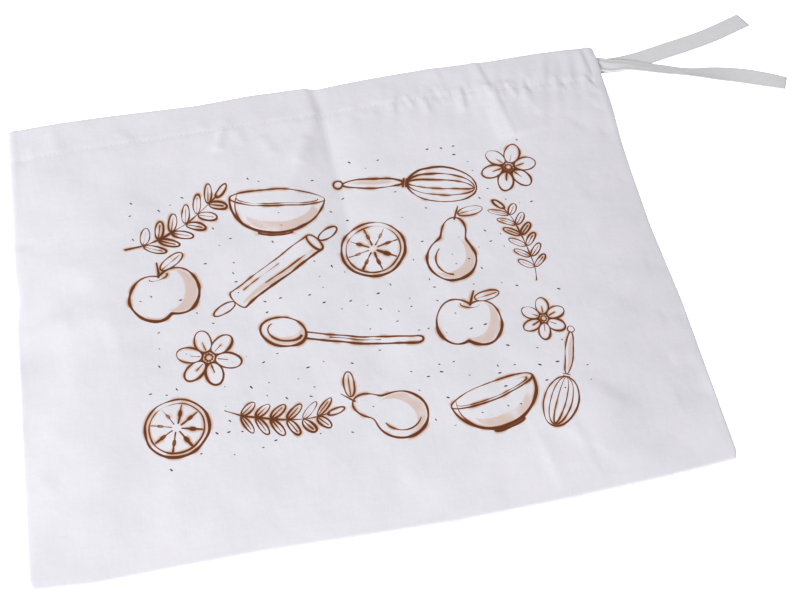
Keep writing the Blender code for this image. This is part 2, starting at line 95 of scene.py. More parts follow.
# Outline of the cloth as it lies
EdgePoint = namedtuple("EdgePoint", "across edge")
FRONT_TOP = [EdgePoint(-0.190, 0.1450), EdgePoint(-0.140, 0.1425), EdgePoint(-0.070, 0.1400),
             EdgePoint(-0.035, 0.1418), EdgePoint(0.000, 0.1408), EdgePoint(0.008, 0.1398),
             EdgePoint(0.040, 0.1418), EdgePoint(0.075, 0.1430), EdgePoint(0.115, 0.1420),
             EdgePoint(0.150, 0.1440), EdgePoint(0.190, 0.1462)]
BACK_TOP = [EdgePoint(-0.190, 0.1450), EdgePoint(-0.100, 0.1456), EdgePoint(0.030, 0.1462),
            EdgePoint(0.120, 0.1458), EdgePoint(0.190, 0.1462)]
FRONT_STITCH = [EdgePoint(-0.190, 0.1195), EdgePoint(-0.060, 0.1175), EdgePoint(0.000, 0.1172),
                EdgePoint(0.077, 0.1196), EdgePoint(0.135, 0.1165), EdgePoint(0.190, 0.1158)]
BACK_STITCH = [EdgePoint(-0.190, 0.1195), EdgePoint(0.000, 0.1208), EdgePoint(0.190, 0.1158)]
BOTTOM = [EdgePoint(-0.190, -0.1512), EdgePoint(-0.160, -0.1535), EdgePoint(-0.080, -0.1525),
          EdgePoint(-0.025, -0.1540), EdgePoint(0.030, -0.1555), EdgePoint(0.090, -0.1545),
          EdgePoint(0.150, -0.1520), EdgePoint(0.190, -0.1492)]
LEFT = [EdgePoint(-0.150, -0.1900), EdgePoint(0.010, -0.1898), EdgePoint(0.028, -0.1882),
        EdgePoint(0.046, -0.1896), EdgePoint(0.150, -0.1898)]
RIGHT = [EdgePoint(-0.150, 0.1900), EdgePoint(-0.045, 0.1894), EdgePoint(0.010, 0.1868),
         EdgePoint(0.075, 0.1870), EdgePoint(0.105, 0.1886), EdgePoint(0.150, 0.1890)]

# Gathers along the stitch line: spacing and height from the left end to the right
Gather = namedtuple("Gather", "x pitch height")
GATHERS = [Gather(-0.1835, 0.0200, 0.0004), Gather(-0.120, 0.0190, 0.0003),
           Gather(-0.060, 0.0170, 0.0004), Gather(0.000, 0.0150, 0.0006),
           Gather(0.060, 0.0120, 0.0009), Gather(0.120, 0.0100, 0.0012),
           Gather(0.1835, 0.0100, 0.0013)]

# The pressed fold down the middle, in millimetres: its floor, its depth and the width of both slopes
PressedFold = namedtuple("PressedFold", "y x depth left right")
MIDDLE_FOLD = [PressedFold(-130, 9.0, 0.1, 20, 20), PressedFold(-20, 9.0, 0.7, 30, 30),
               PressedFold(28, 7.1, 1.9, 34, 26), PressedFold(69, 7.0, 3.0, 30, 18),
               PressedFold(88, 5.8, 2.5, 18, 13), PressedFold(112, 4.8, 1.5, 6, 9),
               PressedFold(120, 4.2, 1.2, 4, 7), PressedFold(141, 1.8, 1.3, 3.8, 6)]
FOLD_CREST = 0.5
FOLD_CREST_REACH = 35.0

# Folds in millimetres: both ends, height (below zero for a trough), and the width of each slope. The left
# slope is on the left of a fold that runs up the bag, and above one that runs to the right.
Fold = namedtuple("Fold", "x0 y0 x1 y1 height left right power", defaults=(1.6,))
BODY_FOLDS = [
    Fold(141, 93, 131.5, 113, 0.95, 4.0, 12, 1.3), Fold(124.6, 78, 120.6, 97, 0.40, 2.8, 12),
    Fold(71.5, 108, 70.1, 125, 0.68, 3.5, 1.4), Fold(93.9, 105, 94.2, 124, 1.02, 4.5, 1.5),
    Fold(138.4, 111, 137.3, 123, -0.85, 1.8, 1.8), Fold(181.5, 108, 174.3, 120, 1.02, 3.5, 1.5),
    Fold(-179.5, 115, -179.2, 127, -0.85, 2.2, 1.6), Fold(-61.8, 101, -56.6, 118, 1.19, 4.5, 1.6),
    Fold(-16.5, 84, -7.6, 102, 0.94, 4, 4), Fold(-28, 92, -34, 108, 0.68, 5, 2.2),
    Fold(-45, 104, -55.7, 125, 0.68, 5, 2.2), Fold(-190, -20.5, -166, -16.5, -1.70, 8, 22),
    Fold(-168, -17, -138, -11.5, -1.10, 8, 18), Fold(-186, -2.5, -158, 2.5, 0.94, 4, 9),
    Fold(-152, 20, -104, 70, 2.10, 24, 13), Fold(-182, 50, -130, 94, -1.50, 18, 13),
    Fold(-81, -70.5, -66, -64.2, 0.77, 3, 3), Fold(86, -137, 112, -131, 1.02, 26, 9),
    Fold(112, -131, 135, -103, 1.36, 28, 12), Fold(110, -89, 160, -50, 0.85, 14, 14),
    Fold(160, 83, 177, 99, -0.94, 7, 6), Fold(8, -128, 62, -136, 0.77, 14, 9),
    Fold(-176, -93, -160, -82, -0.68, 7, 7), Fold(154, 30, 162, 46, -0.59, 6, 5),
    Fold(-118, -120, -84, -132, 0.59, 16, 12), Fold(150, -10, 158, 30, 0.77, 10, 16)]
CHANNEL_FOLDS = [
    Fold(112.8, 119, 108.2, 142, 0.85, 5, 1.5), Fold(149.3, 119, 154.3, 141, 0.50, 3.5, 2.0),
    Fold(166, 118, 170, 142, 0.50, 5.5, 3.0), Fold(179.8, 120, 178.0, 142, 1.12, 5, 1.5),
    Fold(44.5, 119, 45.7, 135, 0.52, 3.5, 1.6), Fold(-156.5, 118, -161.3, 138, 0.68, 5, 2.4),
    Fold(-113.5, 118, -119.5, 129, 0.75, 4, 1.5), Fold(84, 120, 82, 141, 0.45, 5, 2)]
SEAM_FOLDS = [
    Fold(175, -22, 189, -24, -0.75, 3.5, 3), Fold(173, -57, 189, -58, -0.83, 3.5, 2.5),
    Fold(171, -84, 187, -84, 0.68, 4, 3), Fold(167, -109, 187, -106, -0.75, 5, 4),
    Fold(175, 75, 188, 77, -0.68, 4, 3), Fold(177, 40, 188, 41, -0.45, 3, 3),
    Fold(-190, 60, -177, 58, -0.52, 4, 3), Fold(-190, -60, -177, -61, -0.45, 4, 3),
    Fold(-190, -100, -175, -98, 0.52, 5, 4), Fold(-188, 10, -182, 34, 0.75, 5, 8)]
FOLD_HELD = 0.36
FOLD_FADE = 0.14

# A pressed strip right of the middle, in millimetres: its line up the bag, and its height across that line
STRIP_LINE = Fold(119.6, 80, 113.0, 121, 1.0, 0, 0)
StripPoint = namedtuple("StripPoint", "across height")
STRIP = [StripPoint(-12.0, 0.0), StripPoint(-10.0, 0.05), StripPoint(-0.6, 1.60), StripPoint(0.8, 1.5),
         StripPoint(3.2, 0.9), StripPoint(28.0, 0.0)]
STRIP_HELD = 0.46
STRIP_FADE = 0.05

# Small puckers where the stitches draw the cloth in: spacing and height from the left to the right
PUCKERS = [Gather(-0.1800, 0.0110, 0.00018), Gather(-0.0600, 0.0080, 0.00026),
           Gather(0.0000, 0.0058, 0.00034), Gather(0.0600, 0.0040, 0.00044),
           Gather(0.1200, 0.0040, 0.00046), Gather(0.1840, 0.0045, 0.00042)]
PUCKER_SEED = 11
PUCKER_SPACING = (0.5, 1.5)
# Each pucker's reach above and below the stitches, its slant, its share of the height and both its widths
PUCKER_LEAST = (1, 3, -2.5, 0.3, 1.4, 0.9)
PUCKER_MOST = (9, 9, 3.5, 1.4, 3.0, 2.0)
Wave = namedtuple("Wave", "across along start height")
WAVES = [Wave(38.0, 21.0, 0.4, 0.00035), Wave(-23.0, 47.0, 1.9, 0.00030), Wave(61.0, -33.0, 3.1, 0.00022),
         Wave(118.0, 64.0, 0.9, 0.00013), Wave(-94.0, 141.0, 2.2, 0.00011), Wave(57.0, 203.0, 4.0, 0.00007),
         Wave(163.0, -71.0, 5.1, 0.00010), Wave(-131.0, -88.0, 1.2, 0.00011)]

# Free ends of the tape, from the slit outwards; tilt in degrees lifts the edge nearest the viewer
TapeStation = namedtuple("TapeStation", "x y z tilt")
NEAR_END = [TapeStation(0.1874, 0.1312, 0.00485, 0.0), TapeStation(0.1905, 0.1309, 0.00480, 0.0),
            TapeStation(0.1960, 0.1293, 0.00460, 2.0), TapeStation(0.2050, 0.1284, 0.00430, 14.0),
            TapeStation(0.2140, 0.1258, 0.00410, 20.0), TapeStation(0.2220, 0.1227, 0.00410, 23.0),
            TapeStation(0.2310, 0.1194, 0.00420, 24.0), TapeStation(0.2410, 0.1162, 0.00400, 27.0),
            TapeStation(0.2510, 0.1138, 0.00330, 22.0), TapeStation(0.2620, 0.1122, 0.00210, 9.0),
            TapeStation(0.2740, 0.1100, 0.00090, 2.0), TapeStation(0.2860, 0.1060, 0.00060, 0.0),
            TapeStation(0.2970, 0.1010, 0.00090, 4.0), TapeStation(0.3060, 0.0962, 0.00150, 11.0)]
FAR_END = [TapeStation(0.1874, 0.1310, 0.00335, 0.0), TapeStation(0.1905, 0.1308, 0.00342, 0.0),
           TapeStation(0.1980, 0.1308, 0.00250, 0.0), TapeStation(0.2060, 0.1320, 0.00125, 0.0),
           TapeStation(0.2150, 0.1335, 0.00058, 0.0), TapeStation(0.2250, 0.1354, 0.00055, 0.0),
           TapeStation(0.2400, 0.1386, 0.00055, 0.0), TapeStation(0.2560, 0.1419, 0.00055, 0.0),
           TapeStation(0.2720, 0.1460, 0.00055, 0.0), TapeStation(0.2860, 0.1507, 0.00055, 0.0),
           TapeStation(0.2970, 0.1546, 0.00055, 0.0)]
TAPE_FRONT_Y = 0.1300
TAPE_BACK_Y = 0.1332
TAPE_TURN_X = -0.1835
TAPE_TURN_Y = 0.1322
TAPE_SETTLE = 0.0900
TAPE_EXIT_X = 0.1835


def column(table, name):
    """One named column of a table, as an array."""
    return np.array([getattr(row, name) for row in table])


def edge_at(table, across):
    """Place of an edge beside the places given."""
    return np.interp(across, column(table, "across"), column(table, "edge"))


def ease(distance, reach, power=2.0):
    """0 at an edge and 1 from reach onwards: one less the remaining share to a power."""
    return 1.0 - (1.0 - np.clip(distance / reach, 0.0, 1.0)) ** power


def smooth_step(value, start, end):
    """0 before start, 1 after end, and the cubic S curve between them."""
    t = np.clip((value - start) / (end - start), 0.0, 1.0)
    return t * t * (3.0 - 2.0 * t)


def quarter_round(distance, radius):
    """Height of a quarter circle: 0 at the edge and 1 at its radius."""
    t = 1.0 - np.clip(distance / radius, 0.0, 1.0)
    return np.sqrt(1.0 - t * t)


def lay_out(across, along, upper):
    """Nominal place to place on the table: each edge's table bends its side, and straight lines join them."""
    top = edge_at(FRONT_TOP if upper else BACK_TOP, across)
    stitch = edge_at(FRONT_STITCH if upper else BACK_STITCH, across)
    bottom = edge_at(BOTTOM, across)
    below = (along + HALF_HEIGHT) / (STITCH_Y + HALF_HEIGHT)
    above = (along - STITCH_Y) / CHANNEL_DEPTH
    y = np.where(along < STITCH_Y, bottom + below * (stitch - bottom), stitch + above * (top - stitch))
    corner = BOTTOM_CORNER * (1.0 - quarter_round(HALF_HEIGHT + along, BOTTOM_CORNER))
    corner = corner + TOP_CORNER * (1.0 - quarter_round(HALF_HEIGHT - along, TOP_CORNER))
    left = edge_at(LEFT, along) + corner
    right = edge_at(RIGHT, along) - corner
    x = left + (across + HALF_WIDTH) / BAG_WIDTH * (right - left)
    return x, y


def channel_thickness(across):
    """Both hems and the mouth between them, which closes towards the two ends."""
    inside = np.clip(HALF_WIDTH - MOUTH_END_INSET - np.abs(across), 0.0, None)
    gap = MOUTH_END_GAP + (MOUTH_GAP - MOUTH_END_GAP) * ease(inside, MOUTH_REACH, 3.0)
    return 2 * HEM + gap


def panel_thickness(across, along):
    """The body of the bag: thin at its sides and its bottom, and soft in the middle."""
    sides = ease(HALF_WIDTH - np.abs(across), np.where(across < 0, SIDE_REACH, RIGHT_SIDE_REACH))
    bottom = ease(HALF_HEIGHT + along, BOTTOM_REACH)
    return EDGE_THICKNESS + (PANEL_THICKNESS - EDGE_THICKNESS) * sides * bottom


GATHER_ABOVE = 0.0150
GATHER_BELOW = 0.0210
GATHER_UNEVEN = 0.35
GATHER_SAMPLES = 400
GATHER_SHARE = 0.3
STITCH_DIP = 0.0003
STITCH_DIP_REACH = 0.0016
FOLD_INSET = 0.016
SEAM_FOLD_INSET = 0.003
CHANNEL_DEEPEST = 0.0008


def gather_phase(across):
    """Count of gathers from the left end, as a running total over their uneven spacing."""
    samples = np.linspace(GATHERS[0].x, GATHERS[-1].x, GATHER_SAMPLES)
    rate = 1.0 / np.interp(samples, column(GATHERS, "x"), column(GATHERS, "pitch"))
    total = np.concatenate([[0.0], np.cumsum((rate[1:] + rate[:-1]) / 2 * np.diff(samples))])
    return np.interp(across, samples, total)


def gathers(across, along):
    """Raised cosines along the stitch line, faded above and below it by a bell curve."""
    lean = (along - STITCH_Y) * -0.18
    phase = gather_phase(across + lean)
    height = np.interp(across, column(GATHERS, "x"), column(GATHERS, "height"))
    uneven = 1.0 + GATHER_UNEVEN * np.sin(2.3 * phase) * np.cos(0.9 * phase + 0.6)
    reach = np.where(along > STITCH_Y, GATHER_ABOVE, GATHER_BELOW)
    fade = np.exp(-((along - STITCH_Y) / reach) ** 2)
    return height * uneven * fade * (0.5 + 0.5 * np.cos(2 * math.pi * phase))


def middle_fold(x, y):
    """A valley with a sharp floor: a power law up to a low crest on its left, an exponential on its right."""
    at = y / MM
    floor, depth, left, right = (np.interp(at, column(MIDDLE_FOLD, "y"), column(MIDDLE_FOLD, name))
                                 for name in ("x", "depth", "left", "right"))
    away = x / MM - floor
    below = np.clip(1.0 + away / left, 0.0, 1.0) ** 1.3
    crest = np.exp(-np.clip(-away - left, 0.0, None) / FOLD_CREST_REACH)
    left_side = FOLD_CREST * crest - (1.0 + FOLD_CREST) * below
    return depth * MM * np.where(away < 0, left_side, -np.exp(-np.abs(away) / right))


def beside(fold, x, y, held, fade):
    """Place across a fold's line, and how much is left of it: 1 in its held middle, a bell curve past that."""
    run = np.array([fold.x1 - fold.x0, fold.y1 - fold.y0])
    length = np.hypot(*run)
    dx, dy = x / MM - fold.x0, y / MM - fold.y0
    along = (dx * run[0] + dy * run[1]) / length ** 2
    past = np.clip(np.abs(along - 0.5) - held, 0.0, None)
    return (dx * run[1] - dy * run[0]) / length, np.exp(-(past / fade) ** 2)


def folds(x, y, table):
    """The sum of single folds: across its line each is a bell curve with two widths, and both ends fade."""
    relief = np.zeros_like(x)
    for fold in table:
        across, left_over = beside(fold, x, y, FOLD_HELD, FOLD_FADE)
        width = np.where(across < 0, fold.left, fold.right)
        relief += fold.height * MM * left_over * np.exp(-np.abs(across / width) ** fold.power)
    return relief


def pressed_strip(x, y):
    """A flat slope between two sharp creases: straight lines between the strip's points across its line."""
    across, left_over = beside(STRIP_LINE, x, y, STRIP_HELD, STRIP_FADE)
    return np.interp(across, column(STRIP, "across"), column(STRIP, "height")) * MM * left_over


def pucker_folds():
    """Small folds at uneven places along the stitch line, each with its own slant, reach and height."""
    chance = np.random.default_rng(PUCKER_SEED)
    table = []
    x = PUCKERS[0].x
    while x < PUCKERS[-1].x:
        spacing, height = (np.interp(x, column(PUCKERS, "x"), column(PUCKERS, name))
                           for name in ("pitch", "height"))
        stitch = edge_at(FRONT_STITCH, x) / MM
        above, below, slant, size, left, right = chance.uniform(PUCKER_LEAST, PUCKER_MOST)
        table.append(Fold(x / MM + slant, stitch - below, x / MM - slant * above / below, stitch + above,
                          size * height / MM, left, right))
        x += spacing * chance.uniform(*PUCKER_SPACING)
    return table


def soft_waves(x, y):
    """The sum of long low sine waves in several directions."""
    relief = np.zeros_like(x)
    for wave in WAVES:
        relief += wave.height * np.sin(wave.across * x + wave.along * y + wave.start)
    return relief


def bag_thickness(across, along):
    """Height of the upper face: the body and the channel blended, with the dip, gathers, folds and waves."""
    x, y = lay_out(across, along, True)
    channel_share = smooth_step(along, PANEL_END_Y, CHANNEL_START_Y)
    dip = STITCH_DIP * np.exp(-((along - STITCH_Y) / STITCH_DIP_REACH) ** 2)
    to_side = HALF_WIDTH - np.abs(across)
    inner = ease(to_side, FOLD_INSET) * ease(HALF_HEIGHT + along, FOLD_INSET)
    below_stitch = 1.0 - smooth_step(along, STITCH_Y, HALF_HEIGHT)
    relief = (folds(x, y, BODY_FOLDS) + pressed_strip(x, y) + soft_waves(x, y)) * below_stitch
    relief = relief + middle_fold(x, y)
    relief = (relief + gathers(across, along) * GATHER_SHARE) * inner + folds(x, y, CHANNEL_FOLDS + PUCKER_FOLDS)
    relief = relief + folds(x, y, SEAM_FOLDS) * ease(to_side, SEAM_FOLD_INSET)
    relief = np.where(along > STITCH_Y, np.maximum(relief, -CHANNEL_DEEPEST), relief)
    body = panel_thickness(across, along) * (1.0 - channel_share) + channel_thickness(across) * channel_share
    return body - dip + relief


PUCKER_FOLDS = pucker_folds()

# The cloth piece
CLOTH = 0.0006
HALF_CLOTH = CLOTH / 2
SEAM_GAP = 0.00036
PRESSED_GAP = 0.00066
TOP_FOLD = 0.0018
BOTTOM_FOLD = 0.0016
HEM_END_Y = STITCH_Y - 0.0030
Stretch = namedtuple("Stretch", "start end step")
ACROSS_STEPS = [Stretch(-0.183, -0.070, 0.0032), Stretch(-0.070, 0.050, 0.0023),
                Stretch(0.050, 0.183, 0.00115)]
FRONT_STEPS = [Stretch(-HALF_HEIGHT + BOTTOM_FOLD, 0.060, 0.0036),
               Stretch(0.060, HALF_HEIGHT - TOP_FOLD, 0.00135)]
BACK_STEPS = [Stretch(-HALF_HEIGHT + BOTTOM_FOLD, 0.110, 0.0110),
              Stretch(0.110, HALF_HEIGHT - TOP_FOLD, 0.0030)]
HEM_STEPS = [Stretch(HEM_END_Y, HALF_HEIGHT - TOP_FOLD, 0.0026)]
FOLD_TURNS = 7
SEAM_SHARES = (1.0, 0.5, 0.16, 0.05)
EDGE_TURNS = 6
EDGE_FIRST_TURN = 10.0
BLEND_COLUMNS = 2
BLEND_END = 0.0066
PANEL_ALLOWANCE = 0.0060
CHANNEL_ALLOWANCE = 0.0022
HEM_ALLOWANCE = 0.0008


def steps(stretches):
    """Even places along each stretch, every shared end once."""
    parts = [np.linspace(s.start, s.end, int(round((s.end - s.start) / s.step)) + 1)[:-1] for s in stretches]
    return np.concatenate(parts + [[stretches[-1].end]])


class Columns:
    """The cloth's columns: seam allowance, rounded edge and blend at each side, and the wide middle."""

    def __init__(self):
        turns = np.radians(np.linspace(EDGE_FIRST_TURN, 90.0, EDGE_TURNS))
        blends = np.arange(1, BLEND_COLUMNS + 1) / (BLEND_COLUMNS + 1)
        self.middle = steps(ACROSS_STEPS)
        none = np.zeros(len(SEAM_SHARES))
        self.allow = np.concatenate([SEAM_SHARES, np.zeros(EDGE_TURNS + BLEND_COLUMNS)])
        self.turn = np.concatenate([none, turns, np.full(BLEND_COLUMNS, math.pi / 2)])
        self.blend = np.concatenate([none, np.zeros(EDGE_TURNS), blends])

    def at(self, rounding, half_width, allowance):
        """Nominal place across and share of the half thickness, a row of each for every row of the cloth.

        At a side the place is the edge less R times one minus the cosine of the turn, and the share is the
        turn's sine. An allowance column lies its share of the allowance inside the edge, with share 0.
        """
        rounding, half_width, allowance = (np.atleast_1d(value)[:, None]
                                           for value in (rounding, half_width, allowance))
        curve = HALF_CLOTH + rounding * (1.0 - np.cos(self.turn))
        inset = curve + (BLEND_END - curve) * self.blend
        inset = np.where(self.allow > 0, HALF_CLOTH + allowance * self.allow, inset)
        share = np.where(self.allow > 0, 0.0, np.sin(self.turn)) * np.ones_like(inset)
        middle = self.middle * (half_width / HALF_WIDTH)
        across = np.concatenate([inset - half_width, middle, (half_width - inset)[:, ::-1]], axis=1)
        full = np.ones_like(middle)
        return across, np.concatenate([share, full, share[:, ::-1]], axis=1)


def slit_open(x, y):
    """How far the side seam stands open on each side of its middle, at the tape's slit on the right."""
    start = SLIT_MIDDLE_Y - SLIT_LENGTH / 2
    end = SLIT_MIDDLE_Y + SLIT_LENGTH / 2
    opened = smooth_step(y, start - SLIT_FADE_OUT, start + SLIT_FADE_IN)
    opened = opened * (1.0 - smooth_step(y, end - SLIT_FADE_IN, end + SLIT_FADE_OUT))
    return SLIT_HALF_OPEN * opened * (x > 0)


def outer_cloth(columns, along, upper):
    """Middle of the outer cloth: from the seam at half height it rounds to the face by its column's share."""
    channel_share = smooth_step(along, PANEL_END_Y, CHANNEL_START_Y)
    rounding = PANEL_ROUND + (CHANNEL_ROUND - PANEL_ROUND) * channel_share
    allowance = PANEL_ALLOWANCE + (CHANNEL_ALLOWANCE - PANEL_ALLOWANCE) * channel_share
    across, share = columns.at(rounding, np.full_like(along, HALF_WIDTH), allowance)
    rows = along[:, None] * np.ones_like(across)
    x, y = lay_out(across, rows, upper)
    half = bag_thickness(across, rows) / 2
    seam = SEAM_GAP + slit_open(x, y)
    away = seam + (half - HALF_CLOTH - seam) * share
    return x, y, half + away if upper else half - away, across


def turned_cloth(columns, along, upper):
    """Middle of the turned-in cloth: narrower, inside the channel, and pressed to the outer at the stitches."""
    width = np.full_like(along, HEM_HALF_WIDTH)
    across, share = columns.at(np.full_like(along, HEM_ROUND), width, np.full_like(along, HEM_ALLOWANCE))
    rows = along[:, None] * np.ones_like(across)
    x, y = lay_out(across, rows, upper)
    middle = channel_thickness(across) / 2
    free = SEAM_GAP + (middle - HEM + HALF_CLOTH - SEAM_GAP) * share
    face = bag_thickness(across, rows) if upper else 2 * middle
    pressed = (face - middle - HALF_CLOTH - PRESSED_GAP) * share + SEAM_GAP * (1 - share)
    loose = smooth_step(rows, STITCH_Y - 0.0010, STITCH_Y + 0.0050)
    away = pressed + (free - pressed) * loose
    return x, y, middle + away if upper else middle - away, across


def half_turn(start, end, count, outwards):
    """Rows of a fold from one layer's last row to the next one's first: a half circle between two heights."""
    x0, y0, z0, across0 = start
    x1, _, z1, across1 = end
    angle = np.radians(np.linspace(90.0, -90.0, count + 2)[1:-1])[:, None]
    share = (1.0 - np.sin(angle)) / 2
    radius = (z0 - z1) / 2
    x = x0 + (x1 - x0) * share
    y = y0 + outwards * np.abs(radius) * np.cos(angle)
    z = (z0 + z1) / 2 + radius * np.sin(angle)
    return x, y, z, across0 + (across1 - across0) * share


def cloth_strip():
    """All rows of the one cloth, hem to hem, and the unrolled place of each point.

    The rows run from the front hem's raw edge up inside the channel, over the front's top fold, down the
    front, round the bottom fold, along the back, over its top fold and down inside the back channel.
    """
    columns = Columns()
    front_y = steps(FRONT_STEPS)[::-1]
    back_y = steps(BACK_STEPS)
    hem_y = steps(HEM_STEPS)
    front_hem = turned_cloth(columns, hem_y, True)
    front = outer_cloth(columns, front_y, True)
    back = outer_cloth(columns, back_y, False)
    back_hem = turned_cloth(columns, hem_y[::-1], False)

    def last(part):
        return [axis[-1] for axis in part]

    def first(part):
        return [axis[0] for axis in part]

    front_fold = half_turn(last(front_hem), first(front), FOLD_TURNS, 1.0)
    bottom_fold = half_turn(last(front), first(back), FOLD_TURNS, -1.0)
    back_fold = half_turn(last(back), first(back_hem), FOLD_TURNS, 1.0)
    parts = [front_hem, front_fold, front, bottom_fold, back, back_fold, back_hem]
    x, y, z, across = (np.concatenate([part[axis] for part in parts]) for axis in range(4))

    def between(start, end):
        return np.linspace(start, end, FOLD_TURNS + 2)[1:-1]

    top = HALF_HEIGHT - TOP_FOLD
    turned = 2 * HALF_HEIGHT - hem_y
    unrolled = np.concatenate([turned, between(turned[-1], top), front_y,
                               between(front_y[-1], -HALF_HEIGHT - BOTTOM_FOLD), -BAG_HEIGHT - back_y,
                               between(-BAG_HEIGHT - top, -BAG_HEIGHT - turned[-1]),
                               -BAG_HEIGHT - turned[::-1]])
    return np.stack([x, y, z], axis=2), np.stack([across, unrolled[:, None] + 0 * across], axis=2)


def grid_mesh(name, points, flat):
    """A mesh over a grid of points, a quad between each four neighbours, with flat places as an attribute."""
    rows, count = points.shape[:2]
    mesh = bpy.data.meshes.new(name)
    index = np.arange(rows * count).reshape(rows, count)
    quads = np.stack([index[:-1, :-1], index[1:, :-1], index[1:, 1:], index[:-1, 1:]], axis=-1).reshape(-1, 4)
    fill_mesh(mesh, points.reshape(-1, 3), quads)
    add_flat(mesh, flat.reshape(-1, 2))
    return mesh


def fill_mesh(mesh, points, quads):
    """Put whole arrays of points and quads into an empty mesh, shaded smooth."""
    mesh.vertices.add(len(points))
    mesh.vertices.foreach_set("co", points.astype(np.float32).ravel())
    mesh.loops.add(quads.size)
    mesh.loops.foreach_set("vertex_index", quads.astype(np.int32).ravel())
    mesh.polygons.add(len(quads))
    mesh.polygons.foreach_set("loop_start", np.arange(0, quads.size, 4, dtype=np.int32))
    mesh.polygons.foreach_set("use_smooth", np.ones(len(quads), bool))
    mesh.update(calc_edges=True)
    mesh.validate()


def add_flat(mesh, flat):
    """Keep each point's place on the flat cloth, in metres, for the patterns that follow the cloth."""
    values = np.zeros((len(flat), 3), np.float32)
    values[:, :2] = flat
    attribute = mesh.attributes.new("flat", "FLOAT_VECTOR", "POINT")
    attribute.data.foreach_set("vector", values.ravel())


def new_piece(name, mesh, slot, *materials):
    """A new object of the scene that rides on the bag's body, with the materials given. The slot is not used."""
    piece = bpy.data.objects.new(name, mesh)
    bpy.context.scene.collection.objects.link(piece)
    for material in materials:
        mesh.materials.append(material)
    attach(piece, BODY)
    return piece


def thicken(piece, thickness, inner_slot=0):
    """Give a sheet its thickness, half to each side, with its inner face in a slot of its own."""
    solid = piece.modifiers.new("thickness", "SOLIDIFY")
    solid.thickness = thickness
    solid.offset = 0.0
    solid.material_offset = inner_slot
    solid.material_offset_rim = inner_slot
    return solid


# The tape piece
TAPE_WIDTH = 0.012
TAPE_TURN_STEPS = 12
TAPE_RUN_STEP = 0.0040
TAPE_END_STEP = 0.0012
TAPE_COLUMNS = 15
TAPE_THICKNESS = 0.0008
TAPE_LEAVES_X = 0.1950
TAPE_CRUMPLE_REACH = 0.0120
TAPE_CRUMPLE = 0.0005
TAPE_RIDGE = 0.00035
TAPE_HOLLOW = 0.0004
TAPE_NARROWS = 0.06
TAPE_END_SLANT = 0.0006


def smooth_route(stations, spacing):
    """Even points on a smooth curve through the stations: cubic pieces by chord length."""
    knots = np.array([tuple(station) for station in stations])
    chord = np.concatenate([[0.0], np.cumsum(np.linalg.norm(np.diff(knots[:, :3], axis=0), axis=1))])
    slopes = np.gradient(knots, chord, axis=0)
    count = max(2, int(round(chord[-1] / spacing)) + 1)
    at = np.linspace(0.0, chord[-1], count)
    segment = np.clip(np.searchsorted(chord, at, side="right") - 1, 0, len(chord) - 2)
    span = (chord[segment + 1] - chord[segment])[:, None]
    t = (at[:, None] - chord[segment][:, None]) / span
    start = (2 * t ** 3 - 3 * t ** 2 + 1) * knots[segment]
    end = (3 * t ** 2 - 2 * t ** 3) * knots[segment + 1]
    start_slope = (t ** 3 - 2 * t ** 2 + t) * span * slopes[segment]
    end_slope = (t ** 3 - t ** 2) * span * slopes[segment + 1]
    return start + end + start_slope + end_slope


def tape_route():
    """The whole tape: near end, front channel, round inside the left end, back channel, far end."""
    run_x = np.arange(TAPE_EXIT_X, TAPE_TURN_X, -TAPE_RUN_STEP)
    to_slit = smooth_step(run_x, TAPE_EXIT_X - TAPE_SETTLE, TAPE_EXIT_X)
    to_turn = 1.0 - smooth_step(run_x, TAPE_TURN_X, TAPE_TURN_X + TAPE_SETTLE)
    end_y = SLIT_MIDDLE_Y * to_slit + TAPE_TURN_Y * to_turn
    between = 1.0 - to_slit - to_turn
    front_z = channel_thickness(run_x) - SOLID_CLOTH - TAPE_ROOM / 2
    back_z = np.full_like(run_x, SOLID_CLOTH + TAPE_ROOM / 2)
    flat = np.zeros_like(run_x)
    front = np.stack([run_x, end_y + TAPE_FRONT_Y * between, front_z, flat], axis=1)
    back = np.stack([run_x, end_y + TAPE_BACK_Y * between, back_z, flat], axis=1)[::-1]
    middle_z = channel_thickness(np.array(HALF_WIDTH)) / 2
    radius = middle_z - SOLID_CLOTH - TAPE_ROOM / 2
    angle = np.linspace(0.0, math.pi, TAPE_TURN_STEPS + 1)
    level = np.zeros_like(angle)
    turn = np.stack([TAPE_TURN_X - radius * np.sin(angle), level + TAPE_TURN_Y,
                     middle_z + radius * np.cos(angle), level], axis=1)
    near = smooth_route(NEAR_END, TAPE_END_STEP)[::-1]
    far = smooth_route(FAR_END, TAPE_END_STEP)
    return np.concatenate([near, front, turn, back, far]), len(near), len(far)


